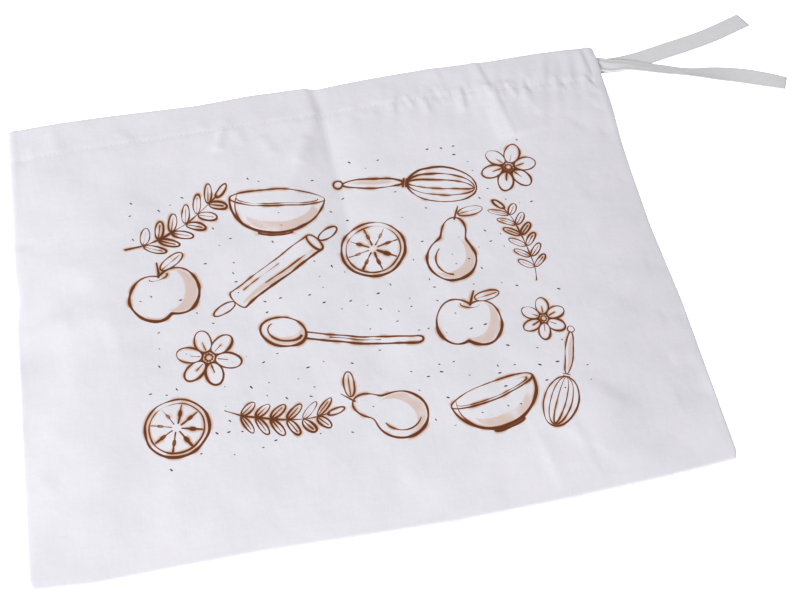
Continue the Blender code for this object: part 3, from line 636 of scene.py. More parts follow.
def tape_surface():
    """A ribbon carried along its route, with a lengthwise crease and a slight hollow in its free ends."""
    route, near_count, far_count = tape_route()
    centre = route[:, :3]
    tilt = np.radians(route[:, 3])[:, None]
    heading = np.gradient(centre, axis=0)
    heading /= np.linalg.norm(heading, axis=1)[:, None]
    sideways = np.array([0.0, 1.0, 0.0]) - heading[:, 1:2] * heading
    sideways /= np.linalg.norm(sideways, axis=1)[:, None]
    width = np.cos(tilt) * sideways - np.sin(tilt) * np.array([0.0, 0.0, 1.0])
    lift = np.cross(heading, width)
    lift *= np.sign(lift[:, 2:3] + 1e-9)
    run = np.concatenate([[0.0], np.cumsum(np.linalg.norm(np.diff(centre, axis=0), axis=1))])
    w = np.linspace(-1.0, 1.0, TAPE_COLUMNS)
    raised = smooth_step(centre[:, 2], 0.0009, 0.0030)
    raised[near_count:-far_count] = 0.0
    near = np.arange(len(run)) < near_count
    drift = 0.25 + 0.35 * np.sin(run * 55.0)
    ridge = TAPE_RIDGE * np.exp(-((w[None, :] - drift[:, None]) / 0.22) ** 2)
    hollow = TAPE_HOLLOW * (w[None, :] ** 2 - 0.4)
    leaving = np.exp(-((centre[:, 0] - TAPE_LEAVES_X) / TAPE_CRUMPLE_REACH) ** 2) * near
    crumple = TAPE_CRUMPLE * np.sin(w[None, :] * 5.2 + 0.6) * leaving[:, None]
    narrow = 1.0 - TAPE_NARROWS * leaving
    offset = (ridge + hollow) * (raised * near)[:, None] + crumple
    reach = (TAPE_WIDTH / 2) * narrow[:, None] * w[None, :]
    points = centre[:, None] + reach[..., None] * width[:, None] + offset[..., None] * lift[:, None]
    slant = np.clip((run - run[-1] + TAPE_WIDTH) / TAPE_WIDTH, 0.0, 1.0)
    points += (slant[:, None] * w[None, :] * -TAPE_END_SLANT)[..., None] * heading[:, None]
    flat = np.stack([w[None, :] * TAPE_WIDTH / 2 + 0 * run[:, None], run[:, None] + 0 * w[None, :]], axis=2)
    return points[::-1], flat[::-1], run[-1]


# The stitches
STITCH_PITCH = 0.0029
STITCH_SHARE = 0.80
THREAD_RADIUS = 0.00020
STITCH_LIFT = 0.00020
STITCH_SUNK = 0.0001
BACK_STITCH_SUNK = 0.0003
STITCH_RINGS = 7
STITCH_SIDES = 6


def stitch_row(upper):
    """A row of stitches: each a short thread that rises out of the cloth, runs along it and dips back in.

    Along a stitch the thread's height follows half a sine wave, and its radius the root of it.
    """
    count = int((2 * HEM_HALF_WIDTH - 0.004) / STITCH_PITCH)
    start = -HEM_HALF_WIDTH + 0.003 + STITCH_PITCH * np.arange(count)
    t = np.linspace(0.0, 1.0, STITCH_RINGS)
    across = start[:, None] + STITCH_PITCH * STITCH_SHARE * t[None, :]
    along = np.full_like(across, STITCH_Y)
    x, y = lay_out(across, along, upper)
    arch = np.sin(math.pi * t)
    lift = STITCH_LIFT * arch - STITCH_SUNK
    face = bag_thickness(across, along) if upper else np.full_like(across, 0.0)
    z = face + lift if upper else face - lift + BACK_STITCH_SUNK
    centre = np.stack([x, y, z], axis=2)
    heading = np.gradient(centre, axis=1)
    heading /= np.linalg.norm(heading, axis=2)[..., None]
    side = np.cross(heading, np.array([0.0, 0.0, 1.0]))
    side /= np.linalg.norm(side, axis=2)[..., None]
    up = np.cross(side, heading)
    angle = np.linspace(0.0, 2 * math.pi, STITCH_SIDES, endpoint=False)
    radius = THREAD_RADIUS * np.sqrt(0.12 + 0.88 * arch)
    ring = np.cos(angle)[:, None] * side[:, :, None] + np.sin(angle)[:, None] * up[:, :, None]
    return centre[:, :, None] + radius[None, :, None, None] * ring


def tubes_mesh(name, rings):
    """Many short closed tubes as one mesh: rings joined by quads, with each end closed by quads."""
    count, length, sides = rings.shape[:3]
    base = (np.arange(count) * length * sides)[:, None, None, None]
    ring = np.arange(length - 1)[None, :, None, None] * sides
    here = np.arange(sides)[None, None, :]
    following = (here + 1) % sides
    wall = np.stack([here, following, following + sides, here + sides], axis=-1)[0][None]
    quads = (base + ring + wall).reshape(-1, 4)
    cap = np.array([[0, 3, 2, 1], [0, 5, 4, 3]])
    first = (base[:, 0] + cap[None]).reshape(-1, 4)
    last = (base[:, 0] + (length - 1) * sides + cap[None, :, ::-1]).reshape(-1, 4)
    mesh = bpy.data.meshes.new(name)
    fill_mesh(mesh, rings.reshape(-1, 3), np.concatenate([quads, first, last]))
    return mesh


# Shader nodes
class Graph:
    """Adds nodes to a node tree, a column for each, and links values or sockets to their inputs."""

    def __init__(self, tree):
        self.tree = tree
        self.count = 0

    def add(self, kind, *values, **settings):
        """A node with its settings, and its first inputs set to the values or linked to the sockets given."""
        node = self.tree.nodes.new("ShaderNode" + kind)
        node.location = (180 * (self.count // 8), -160 * (self.count % 8))
        self.count += 1
        for key, value in settings.items():
            setattr(node, key, value)
        for socket, value in zip(node.inputs, values):
            self.set(socket, value)
        return node

    def set(self, socket, value):
        """Link a socket, or set a plain value; None leaves the default."""
        if isinstance(value, bpy.types.NodeSocket):
            self.tree.links.new(value, socket)
        elif value is not None:
            socket.default_value = value

    def math(self, operation, *values, clamp=False):
        """The result of a Math node."""
        return self.add("Math", *values, operation=operation, use_clamp=clamp).outputs[0]

    def vector(self, operation, *values):
        """The result of a Vector Math node: its number for a length or a dot product, else its vector."""
        node = self.add("VectorMath", operation=operation)
        slots = [0, 3] if operation == "SCALE" else [0, 1, 2]
        for slot, value in zip(slots, values):
            self.set(node.inputs[slot], value)
        return node.outputs["Value" if operation in ("LENGTH", "DOT_PRODUCT", "DISTANCE") else "Vector"]

    def split(self, vector):
        """The three numbers of a vector."""
        return self.add("SeparateXYZ", vector).outputs

    def join(self, x, y, z=0.0):
        """A vector of three numbers."""
        return self.add("CombineXYZ", x, y, z).outputs[0]

    def ramp(self, value, low, high, start=0.0, end=1.0, smooth=True):
        """A value from start to end as the input goes from low to high."""
        kind = "SMOOTHSTEP" if smooth else "LINEAR"
        return self.add("MapRange", value, low, high, start, end, interpolation_type=kind).outputs[0]

    def noise(self, place, scale, detail=2.0, roughness=0.5):
        """A noise texture's value, and its colour."""
        node = self.add("TexNoise", noise_dimensions="3D")
        self.set(node.inputs["Vector"], place)
        self.set(node.inputs["Scale"], scale)
        self.set(node.inputs["Detail"], detail)
        self.set(node.inputs["Roughness"], roughness)
        return node.outputs[0], node.outputs[1]

    def mix(self, share, first, second):
        """A colour between two colours."""
        node = self.add("Mix", data_type="RGBA")
        self.set(node.inputs[0], share)
        self.set(node.inputs[6], first)
        self.set(node.inputs[7], second)
        return node.outputs[2]

    def group(self, tree, *values):
        """A node that uses another tree, with its inputs given in order."""
        node = self.add("Group", node_tree=tree)
        for socket, value in zip(node.inputs, values):
            self.set(socket, value)
        return node.outputs


def new_group(name, inputs, outputs):
    """An empty node group with named sockets; gives its graph, its inputs and the node for its outputs."""
    tree = bpy.data.node_groups.new(name, "ShaderNodeTree")
    for socket, kind in inputs:
        tree.interface.new_socket(socket, in_out="INPUT", socket_type=kind)
    for socket, kind in outputs:
        tree.interface.new_socket(socket, in_out="OUTPUT", socket_type=kind)
    graph = Graph(tree)
    return graph, tree.nodes.new("NodeGroupInput").outputs, tree.nodes.new("NodeGroupOutput").inputs


NUMBER = "NodeSocketFloat"
VECTOR = "NodeSocketVector"
COLOUR = "NodeSocketColor"


def oval_group():
    """Distance to an oval: k0(k0-1)/k1, k0 the length of place over size and k1 of place over size squared."""
    g, given, out = new_group("oval", [("Place", VECTOR), ("Centre", VECTOR), ("Size", VECTOR)],
                              [("Distance", NUMBER)])
    local = g.vector("SUBTRACT", given[0], given[1])
    scaled = g.vector("DIVIDE", local, given[2])
    k0 = g.vector("LENGTH", scaled)
    k1 = g.vector("LENGTH", g.vector("DIVIDE", scaled, given[2]))
    product = g.math("MULTIPLY", k0, g.math("SUBTRACT", k0, 1.0))
    g.set(out[0], g.math("DIVIDE", product, g.math("MAXIMUM", k1, 0.0001)))
    return g.tree


def line_group():
    """Distance to a straight line between two ends, and how far along it the nearest point is."""
    g, given, out = new_group("line", [("Place", VECTOR), ("Start", VECTOR), ("End", VECTOR)],
                              [("Distance", NUMBER), ("Run", NUMBER)])
    run = g.vector("SUBTRACT", given[2], given[1])
    local = g.vector("SUBTRACT", given[0], given[1])
    share = g.math("DIVIDE", g.vector("DOT_PRODUCT", local, run), g.vector("DOT_PRODUCT", run, run),
                   clamp=True)
    g.set(out[0], g.vector("DISTANCE", local, g.vector("SCALE", run, share)))
    g.set(out[1], share)
    return g.tree


def weave_group():
    """Height of a plain weave: threads over and under in turn, each half a sine wave across, flatter along."""
    g, given, out = new_group("plain weave", [("Flat", VECTOR), ("Pitch", NUMBER)], [("Height", NUMBER)])
    x, y, _ = g.split(given[0])
    u = g.math("DIVIDE", x, given[1])
    v = g.math("DIVIDE", y, given[1])
    parity = g.math("MODULO", g.math("ADD", g.math("FLOOR", u), g.math("FLOOR", v)), 2.0)
    upper = g.math("GREATER_THAN", g.math("ABSOLUTE", parity), 0.5)
    side_u = g.math("SINE", g.math("MULTIPLY", g.math("FRACT", u), math.pi))
    side_v = g.math("SINE", g.math("MULTIPLY", g.math("FRACT", v), math.pi))
    warp = g.math("MULTIPLY", side_u, g.math("MULTIPLY_ADD", side_v, 0.5, 0.5))
    weft = g.math("MULTIPLY", side_v, g.math("MULTIPLY_ADD", side_u, 0.5, 0.5))
    turned = g.math("MULTIPLY", g.math("SUBTRACT", weft, warp), upper)
    g.set(out[0], g.math("ADD", warp, turned))
    return g.tree


# The printed drawing, in millimetres. A stroke's width is half its line, and a cut keeps the side that its
# direction points away from. A motif's table is drawn about its own middle.
Oval = namedtuple("Oval", "x y a b turn width cut", defaults=(0.0, 0.45, None))
Line = namedtuple("Line", "x0 y0 x1 y1 width taper", defaults=(0.45, 0.0))
Blob = namedtuple("Blob", "ovals soft width", defaults=(3.0, 0.45))
Cut = namedtuple("Cut", "x y offset")
Ring = namedtuple("Ring", "count strokes")
Pairs = namedtuple("Pairs", "start pitch count strokes")
Wash = namedtuple("Wash", "x y a b turn shift", defaults=(0.0, None))
Motif = namedtuple("Motif", "bend strokes wash")

SPOON = Motif(0.0012, [
    Oval(-34.0, 0.0, 14.0, 10.0, width=0.50),
    Oval(-33.0, 0.6, 10.4, 6.8, width=0.25, cut=Cut(0.3, 1.0, 1.5)),
    Line(-20.4, 2.2, 46.0, 2.0, 0.42),
    Line(-20.4, -2.2, 46.0, -2.6, 0.50),
    Oval(46.0, -0.3, 3.6, 2.3, width=0.45, cut=Cut(-1.0, 0.0, 0.0)),
    Line(-6.0, 0.3, 24.0, 0.1, 0.16)], Wash(-34.0, 0.0, 13.0, 9.0, 0.0, (-3.0, 5.0)))
WHISK = Motif(0.0010, [
    Oval(-22.0, 0.0, 24.0, 15.0, width=0.50),
    Oval(-21.4, 0.0, 23.2, 9.4, width=0.36),
    Oval(-21.0, 0.0, 22.6, 3.9, width=0.30),
    Line(2.4, -2.8, 2.4, 2.8, 0.55),
    Line(4.6, -3.0, 4.6, 3.0, 0.40),
    Oval(26.0, 0.0, 21.0, 3.7, width=0.48),
    Oval(50.2, 0.0, 3.1, 3.1, width=0.40)], Wash(26.0, -0.9, 19.0, 1.9))
PIN = Motif(0.0, [
    Oval(-46.5, 0.0, 8.6, 3.5, width=0.45),
    Oval(46.5, 0.0, 8.6, 3.5, width=0.45),
    Line(-34.0, 8.0, 34.0, 8.0, 0.42),
    Line(-34.0, -8.0, 34.0, -8.0, 0.60),
    Oval(-34.0, 0.0, 3.4, 8.0, width=0.45, cut=Cut(1.0, 0.0, 0.0)),
    Oval(34.0, 0.0, 3.4, 8.0, width=0.42),
    Line(-26.0, 3.4, 4.0, 3.9, 0.18, 0.7),
    Line(22.0, -3.8, -12.0, -3.2, 0.18, 0.7)], Wash(0.0, -4.4, 34.0, 2.6))
BOWL = Motif(0.0, [
    Oval(0.0, 9.0, 31.0, 6.4, width=0.45),
    Oval(0.0, 9.0, 31.0, 27.0, width=0.55, cut=Cut(0.0, 1.0, 0.0)),
    Oval(0.0, -17.6, 10.6, 2.6, width=0.45, cut=Cut(0.0, 1.0, -0.2)),
    Oval(0.0, 5.0, 27.5, 24.0, width=0.20, cut=Cut(0.6, 1.0, -7.0)),
    Oval(0.0, 8.6, 26.6, 4.3, width=0.20, cut=Cut(0.0, 1.0, 0.4))],
    Wash(4.0, -4.0, 24.0, 13.5, 0.0, (-5.0, 8.0)))
PEAR = Motif(0.0, [
    Blob([Oval(0.0, -7.0, 16.0, 16.5), Oval(0.6, 13.0, 8.2, 11.0)], 7.0, 0.52),
    Line(0.8, 23.0, 3.0, 33.0, 0.70, 0.4),
    Oval(11.0, 30.0, 8.6, 3.5, 24.0, 0.42),
    Line(3.4, 26.6, 17.0, 32.6, 0.18),
    Oval(1.0, -7.0, 11.4, 12.2, 0.0, 0.22, Cut(1.0, 0.5, -5.0))],
    Wash(0.4, -7.0, 14.8, 15.3, 0.0, (-6.0, 4.0)))
APPLE = Motif(0.0, [
    Blob([Oval(-7.2, 0.0, 12.6, 15.4), Oval(7.2, 0.0, 12.6, 15.4)], 2.2, 0.52),
    Line(0.0, 12.4, 2.6, 22.0, 0.70, 0.4),
    Oval(10.4, 19.6, 8.0, 3.2, 22.0, 0.42),
    Line(3.4, 16.6, 16.0, 21.9, 0.18),
    Oval(0.0, 12.6, 5.4, 2.2, 0.0, 0.26, Cut(0.0, 1.0, 0.4))],
    Wash(7.0, 0.0, 11.6, 14.4, 0.0, (-6.0, 4.0)))
CITRUS = Motif(0.0, [
    Oval(0.0, 0.0, 19.0, 19.0, width=0.52),
    Oval(0.0, 0.0, 16.2, 16.2, width=0.22),
    Ring(8, [Line(3.0, 0.0, 15.0, 0.0, 0.30, 0.3), Oval(9.4, 0.0, 1.7, 0.7, width=0.20)])],
    Wash(0.0, 0.0, 18.4, 18.4, 0.0, (-3.0, 3.0)))
FLOWER = Motif(0.0, [
    Oval(0.0, 0.0, 4.4, 4.4, width=0.42),
    Ring(6, [Oval(12.4, 0.0, 8.2, 5.4, width=0.44), Line(6.0, 0.0, 11.6, 0.4, 0.17, 0.5)]),
    Ring(9, [Oval(2.5, 0.0, 0.25, 0.25, width=0.30)])], Wash(0.0, 0.0, 4.0, 4.0))
SPRIG = Motif(0.0042, [
    Line(-40.0, 0.0, 39.0, 0.0, 0.48, 0.5),
    Oval(44.0, 0.0, 6.2, 2.6, width=0.42),
    Pairs(-28.0, 11.5, 6, [Oval(5.6, 6.6, 7.6, 2.9, 50.0, 0.42), Line(1.0, 1.2, 8.4, 10.0, 0.17, 0.5)])],
    None)
MOTIFS = {"spoon": SPOON, "whisk": WHISK, "rolling pin": PIN, "bowl": BOWL, "pear": PEAR, "apple": APPLE,
          "citrus slice": CITRUS, "flower": FLOWER, "leaf sprig": SPRIG}

Placing = namedtuple("Placing", "x y turn size")
DRAWING = {
    "leaf sprig": [Placing(-92, 56, 28, 0.82), Placing(110, 10, 98, 0.68), Placing(-52, -79, -10, 0.72)],
    "bowl": [Placing(-32, 60, -10, 0.92), Placing(68, -90, 12, 0.80)],
    "whisk": [Placing(51, 64, 166, 0.88), Placing(108, -84, 66, 0.64)],
    "flower": [Placing(113, 64, 8, 0.84), Placing(-84, -34, 40, 0.88), Placing(106, -44, 20, 0.66)],
    "apple": [Placing(-104, 12, 14, 1.02), Placing(64, -38, -14, 0.94)],
    "rolling pin": [Placing(-38, 17, 32, 0.84)],
    "citrus slice": [Placing(20, 22, 12, 1.00), Placing(-106, -74, 30, 0.90)],
    "pear": [Placing(66, 12, -14, 0.92), Placing(9, -84, 64, 0.88)],
    "spoon": [Placing(-10, -34, -14, 0.94)]}
PRINT_LOW = (-124.0, -99.0)
PRINT_HIGH = (128.0, 88.0)


class Drawing:
    """Builds a motif's strokes into a node group, from its table."""

    def __init__(self, oval, line):
        self.oval = oval
        self.line = line

    def turned(self, g, place, x, y, degrees):
        """The place about a new middle, turned back by an angle."""
        if not degrees:
            return place, (x, y, 0.0)
        node = g.add("Mapping", vector_type="TEXTURE")
        g.set(node.inputs["Vector"], place)
        node.inputs["Location"].default_value = (x, y, 0.0)
        node.inputs["Rotation"].default_value = (0.0, 0.0, math.radians(degrees))
        return node.outputs[0], (0.0, 0.0, 0.0)

    def oval_distance(self, g, place, stroke):
        """Distance to an oval stroke's outline."""
        local, centre = self.turned(g, place, stroke.x, stroke.y, stroke.turn)
        return g.group(self.oval, local, centre, (stroke.a, stroke.b, 1.0))[0]

    def edge(self, g, place, stroke):
        """Distance to a stroke's inked edge: the distance to its line, less half the line's width."""
        if isinstance(stroke, Ring):
            return self.nearest(g, self.ring(g, place, stroke.count), stroke.strokes)
        if isinstance(stroke, Pairs):
            return self.nearest(g, self.pairs(g, place, stroke), stroke.strokes)
        if isinstance(stroke, Line):
            distance, run = self.line_ends(g, place, stroke)
            width = stroke.width
            if stroke.taper:
                width = g.math("MULTIPLY_ADD", run, -stroke.taper * width, width)
            return g.math("SUBTRACT", distance, width)
        if isinstance(stroke, Blob):
            first, second = (self.oval_distance(g, place, oval) for oval in stroke.ovals)
            distance = g.math("SMOOTH_MIN", first, second, stroke.soft)
            return g.math("SUBTRACT", g.math("ABSOLUTE", distance), stroke.width)
        edge = g.math("SUBTRACT", g.math("ABSOLUTE", self.oval_distance(g, place, stroke)), stroke.width)
        if stroke.cut is None:
            return edge
        x, y, _ = g.split(place)
        size = math.hypot(stroke.cut.x, stroke.cut.y)
        ahead = g.math("MULTIPLY_ADD", g.math("SUBTRACT", x, stroke.x), stroke.cut.x / size,
                       g.math("MULTIPLY", g.math("SUBTRACT", y, stroke.y), stroke.cut.y / size))
        return g.math("MAXIMUM", edge, g.math("SUBTRACT", ahead, stroke.cut.offset))

    def line_ends(self, g, place, stroke):
        """Distance to a line stroke and the share of its length that is behind."""
        return g.group(self.line, place, (stroke.x0, stroke.y0, 0.0), (stroke.x1, stroke.y1, 0.0))

    def ring(self, g, place, count):
        """Fold the plane round its middle into one wedge: what is drawn there is drawn count times."""
        x, y, _ = g.split(place)
        angle = g.math("MULTIPLY", g.math("ARCTAN2", y, x), count / (2 * math.pi))
        wedge = g.math("MULTIPLY", g.math("SUBTRACT", g.math("FRACT", g.math("ADD", angle, 0.5)), 0.5),
                       2 * math.pi / count)
        away = g.vector("LENGTH", g.join(x, y))
        return g.join(g.math("MULTIPLY", away, g.math("COSINE", wedge)),
                      g.math("MULTIPLY", away, g.math("SINE", wedge)))

    def pairs(self, g, place, stroke):
        """Fold the plane along a stem into one step and one side: what is drawn there repeats in pairs."""
        x, y, _ = g.split(place)
        steps_along = g.math("DIVIDE", g.math("SUBTRACT", x, stroke.start), stroke.pitch)
        lean = g.math("MULTIPLY", g.math("ABSOLUTE", y), -0.85 / stroke.pitch)
        whole = g.math("ROUND", g.math("ADD", steps_along, lean))
        whole = g.math("MINIMUM", g.math("MAXIMUM", whole, 0.0), stroke.count - 1.0)
        local = g.math("MULTIPLY", g.math("SUBTRACT", steps_along, whole), stroke.pitch)
        return g.join(local, g.math("ABSOLUTE", y))

    def nearest(self, g, place, strokes):
        """The nearest inked edge of several strokes."""
        edges = [self.edge(g, place, stroke) for stroke in strokes]
        found = edges[0]
        for edge in edges[1:]:
            found = g.math("MINIMUM", found, edge)
        return found

    def shading(self, g, place, wash):
        """Distance to a wash: an oval, less the same oval moved by its shift where it has one."""
        whole = self.oval_distance(g, place, wash)
        if wash.shift is None:
            return whole
        moved = g.vector("SUBTRACT", place, (*wash.shift, 0.0))
        return g.math("MAXIMUM", whole, g.math("MULTIPLY", self.oval_distance(g, moved, wash), -1.0))

    def motif_group(self, name, motif):
        """A node group that gives the distances to a motif's ink and to its light wash."""
        g, given, out = new_group("motif " + name, [("Place", VECTOR)], [("Ink", NUMBER), ("Wash", NUMBER)])
        x, y, _ = g.split(given[0])
        place = given[0]
        if motif.bend:
            place = g.join(x, g.math("MULTIPLY_ADD", g.math("MULTIPLY", x, x), -motif.bend, y))
        heavier = g.ramp(g.split(place)[1], -14.0, 14.0, 0.34, -0.02, smooth=False)
        g.set(out[0], g.math("SUBTRACT", self.nearest(g, place, motif.strokes), heavier))
        if motif.wash:
            g.set(out[1], self.shading(g, place, motif.wash))
        else:
            out[1].default_value = 50.0
        return g.tree


FLECK_CELL = 8.0


def flecks(g, place, away_from_ink):
    """Distance to short dashes: one in some cells of a scattered grid, each along its own direction."""
    cells = g.add("TexVoronoi", voronoi_dimensions="2D", feature="F1")
    g.set(cells.inputs["Vector"], place)
    cells.inputs["Scale"].default_value = 1.0 / FLECK_CELL
    cells.inputs["Randomness"].default_value = 0.9
    local = g.vector("SUBTRACT", place, cells.outputs["Position"])
    pick, size, turn = g.split(cells.outputs["Color"])
    rotated = g.add("VectorRotate", rotation_type="Z_AXIS")
    g.set(rotated.inputs["Vector"], local)
    g.set(rotated.inputs["Angle"], g.math("MULTIPLY_ADD", turn, 1.6, -0.4))
    lx, ly, _ = g.split(rotated.outputs[0])
    far = g.vector("LENGTH", g.join(lx, g.math("MULTIPLY", ly, 2.3)))
    dash = g.math("SUBTRACT", far, g.math("MULTIPLY_ADD", size, 0.60, 0.50))
    shown = g.math("MULTIPLY", g.math("LESS_THAN", pick, 0.40), g.ramp(away_from_ink, 1.5, 3.0))
    return g.math("ADD", dash, g.math("MULTIPLY", g.math("SUBTRACT", 1.0, shown), 20.0))


def nearest_spot(g, place, spots):
    """The place in a motif's own frame, about the nearest of the spots where it is drawn."""
    found, least = None, None
    for spot in spots:
        node = g.add("Mapping", vector_type="TEXTURE")
        g.set(node.inputs["Vector"], place)
        node.inputs["Location"].default_value = (spot.x, spot.y, 0.0)
        node.inputs["Rotation"].default_value = (0.0, 0.0, math.radians(spot.turn))
        node.inputs["Scale"].default_value = (spot.size, spot.size, 1.0)
        local = node.outputs[0]
        away = g.vector("LENGTH", local)
        if found is None:
            found, least = local, away
            continue
        choice = g.add("Mix", data_type="VECTOR")
        g.set(choice.inputs[0], g.math("LESS_THAN", away, least))
        g.set(choice.inputs[4], found)
        g.set(choice.inputs[5], local)
        found, least = choice.outputs[1], g.math("MINIMUM", away, least)
    return found


def drawing_group():
    """The whole printed drawing on the flat cloth: shares of brown ink, tan wash and dark flecks."""
    g, given, out = new_group("printed drawing", [("Flat", VECTOR)],
                              [("Ink", NUMBER), ("Core", NUMBER), ("Wash", NUMBER), ("Fleck", NUMBER)])
    oval = oval_group()
    makers = Drawing(oval, line_group())
    trees = {name: makers.motif_group(name, motif) for name, motif in MOTIFS.items()}
    place = g.vector("MULTIPLY", given[0], (1000.0, 1000.0, 0.0))
    _, wander = g.noise(place, 0.045, 1.0)
    shift = g.vector("MULTIPLY", g.vector("SUBTRACT", wander, (0.5, 0.5, 0.5)), (2.6, 2.6, 0.0))
    drawn = g.vector("ADD", place, shift)
    ink, wash = 90.0, 90.0
    for name, spots in DRAWING.items():
        nearest, washed = g.group(trees[name], nearest_spot(g, drawn, spots))
        ink = g.math("MINIMUM", ink, nearest)
        wash = g.math("MINIMUM", wash, washed)
    pressure, _ = g.noise(place, 0.085, 1.0)
    weight = g.math("MULTIPLY_ADD", pressure, -1.7, 0.70)
    uneven = g.math("ADD", ink, weight)
    g.set(out[0], g.ramp(uneven, 0.10, -0.14))
    g.set(out[1], g.ramp(uneven, 0.00, -0.60))
    halo = g.math("MULTIPLY", g.ramp(uneven, 1.6, 0.2), g.ramp(pressure, 0.46, 0.60))
    faint, _ = g.noise(place, 0.05, 3.0)
    washed = g.math("MULTIPLY", g.ramp(wash, 0.5, -0.9), g.ramp(faint, 0.30, 0.52))
    g.set(out[2], g.math("MAXIMUM", g.math("MULTIPLY", halo, 0.75), g.math("MULTIPLY", washed, 0.55)))
    x, y, _ = g.split(place)
    inside = g.math("MULTIPLY", g.math("MULTIPLY", g.math("GREATER_THAN", x, PRINT_LOW[0]),
                                       g.math("LESS_THAN", x, PRINT_HIGH[0])),
                    g.math("MULTIPLY", g.math("GREATER_THAN", y, PRINT_LOW[1]),
                           g.math("LESS_THAN", y, PRINT_HIGH[1])))
    g.set(out[3], g.math("MULTIPLY", g.ramp(flecks(g, place, ink), 0.18, -0.12), inside))
    return g.tree


def linen_finish_group():
    """Colour and bump of undyed white linen: a plain weave with slubs, and faint soft creasing."""
    g, given, out = new_group("linen finish",
                              [("Colour", COLOUR), ("Shade Colour", COLOUR), ("Pitch", NUMBER)],
                              [("Colour", COLOUR), ("Normal", VECTOR)])
    flat = g.add("Attribute", attribute_name="flat").outputs["Vector"]
    lengthwise = g.vector("MULTIPLY", flat, (900.0, 45.0, 1.0))
    crosswise = g.vector("MULTIPLY", flat, (45.0, 900.0, 1.0))
    slub_warp, _ = g.noise(lengthwise, 1.0, 2.0)
    slub_weft, _ = g.noise(crosswise, 1.0, 2.0)
    slubs = g.math("ADD", slub_warp, slub_weft)
    cloudy, _ = g.noise(flat, 38.0, 3.0)
    tone = g.math("MULTIPLY_ADD", g.math("SUBTRACT", slubs, 1.0), 0.4, g.ramp(cloudy, 0.3, 0.7, 0.0, 0.4))
    g.set(out[0], g.mix(tone, given[0], given[1]))
    weave = g.group(weave_group(), flat, given[2])[0]
    threads = g.math("MULTIPLY_ADD", g.math("SUBTRACT", slubs, 1.0), 0.9, weave)
    fine = g.add("Bump")
    fine.inputs["Strength"].default_value = 0.15
    fine.inputs["Distance"].default_value = 0.00012
    g.set(fine.inputs["Height"], threads)
    creased, _ = g.noise(flat, 95.0, 3.0, 0.55)
    soft = g.add("Bump")
    soft.inputs["Strength"].default_value = 0.5
    soft.inputs["Distance"].default_value = 0.0009
    g.set(soft.inputs["Height"], creased)
    g.set(soft.inputs["Normal"], fine.outputs[0])
    g.set(out[1], soft.outputs[0])
    return g.tree


def opaque(colour):
    """A setting's colour with full cover."""
    return (*colour, 1.0)


def cloth_shader(name, roughness, sheen):
    """A material with one cloth shader; gives the material, its graph and the shader's inputs."""
    material = bpy.data.materials.new(name)
    material.use_nodes = True
    tree = material.node_tree
    shader = tree.nodes["Principled BSDF"]
    shader.inputs["Roughness"].default_value = roughness
    shader.inputs["Specular IOR Level"].default_value = 0.25
    shader.inputs["Sheen Weight"].default_value = sheen
    shader.inputs["Sheen Roughness"].default_value = 0.5
    return material, Graph(tree), shader.inputs


def linen_materials(settings):
    """The printed outer side of the linen and its plain inner side, over one shared finish."""
    finish = linen_finish_group()
    colours = (opaque(settings.colour), opaque(settings.shade_colour))
    made = []
    for name in ("printed linen", "plain linen"):
        material, g, inputs = cloth_shader(name, 0.92, 0.12)
        colour, normal = g.group(finish, *colours, settings.weave_pitch)
        if name == "printed linen":
            flat = g.add("Attribute", attribute_name="flat").outputs["Vector"]
            ink, core, wash, fleck = g.group(drawing_group(), flat)
            colour = g.mix(wash, colour, opaque(settings.wash_colour))
            line = g.mix(core, opaque(settings.ink_colour), opaque(settings.core_colour))
            colour = g.mix(ink, colour, line)
            colour = g.mix(fleck, colour, opaque(settings.fleck_colour))
        g.set(inputs["Base Color"], colour)
        g.set(inputs["Normal"], normal)
        made.append(material)
    return made


def tape_material(settings):
    """Woven cotton tape: a fine weave with raised warp lines, and both edges a little denser."""
    material, g, inputs = cloth_shader("cotton tape", 0.9, 0.15)
    flat = g.add("Attribute", attribute_name="flat").outputs["Vector"]
    x, _, _ = g.split(flat)
    weave = g.group(weave_group(), flat, settings.weave_pitch)[0]
    warp = g.math("SINE", g.math("MULTIPLY", x, 2 * math.pi / 0.0011))
    cloudy, _ = g.noise(flat, 160.0, 3.0)
    edge = g.ramp(g.math("ABSOLUTE", x), 0.0048, 0.0056)
    tone = g.math("ADD", g.math("MULTIPLY", cloudy, 0.5), g.math("MULTIPLY", warp, 0.15))
    colour = g.mix(g.math("ADD", tone, g.math("MULTIPLY", edge, 0.2)), opaque(settings.colour),
                   opaque(settings.shade_colour))
    bump = g.add("Bump")
    bump.inputs["Strength"].default_value = 0.6
    bump.inputs["Distance"].default_value = 0.00015
    g.set(bump.inputs["Height"], g.math("MULTIPLY_ADD", warp, 0.5, g.math("ADD", weave, edge)))
    g.set(inputs["Base Color"], colour)
    g.set(inputs["Normal"], bump.outputs[0])
    return material


def thread_material(settings):
    """Sewing thread: two plies that wind round each other, as slanting bands on object coordinates."""
    material, g, inputs = cloth_shader("sewing thread", 0.7, 0.2)
    place = g.add("TexCoord").outputs["Object"]
    x, y, _ = g.split(place)
    ply = g.math("SINE", g.math("MULTIPLY", g.math("MULTIPLY_ADD", y, 0.8, x), 2 * math.pi / 0.0007))
    colour = g.mix(g.math("MULTIPLY_ADD", ply, 0.25, 0.25), opaque(settings.colour),
                   (0.66, 0.65, 0.68, 1.0))
    g.set(inputs["Base Color"], colour)
    return material


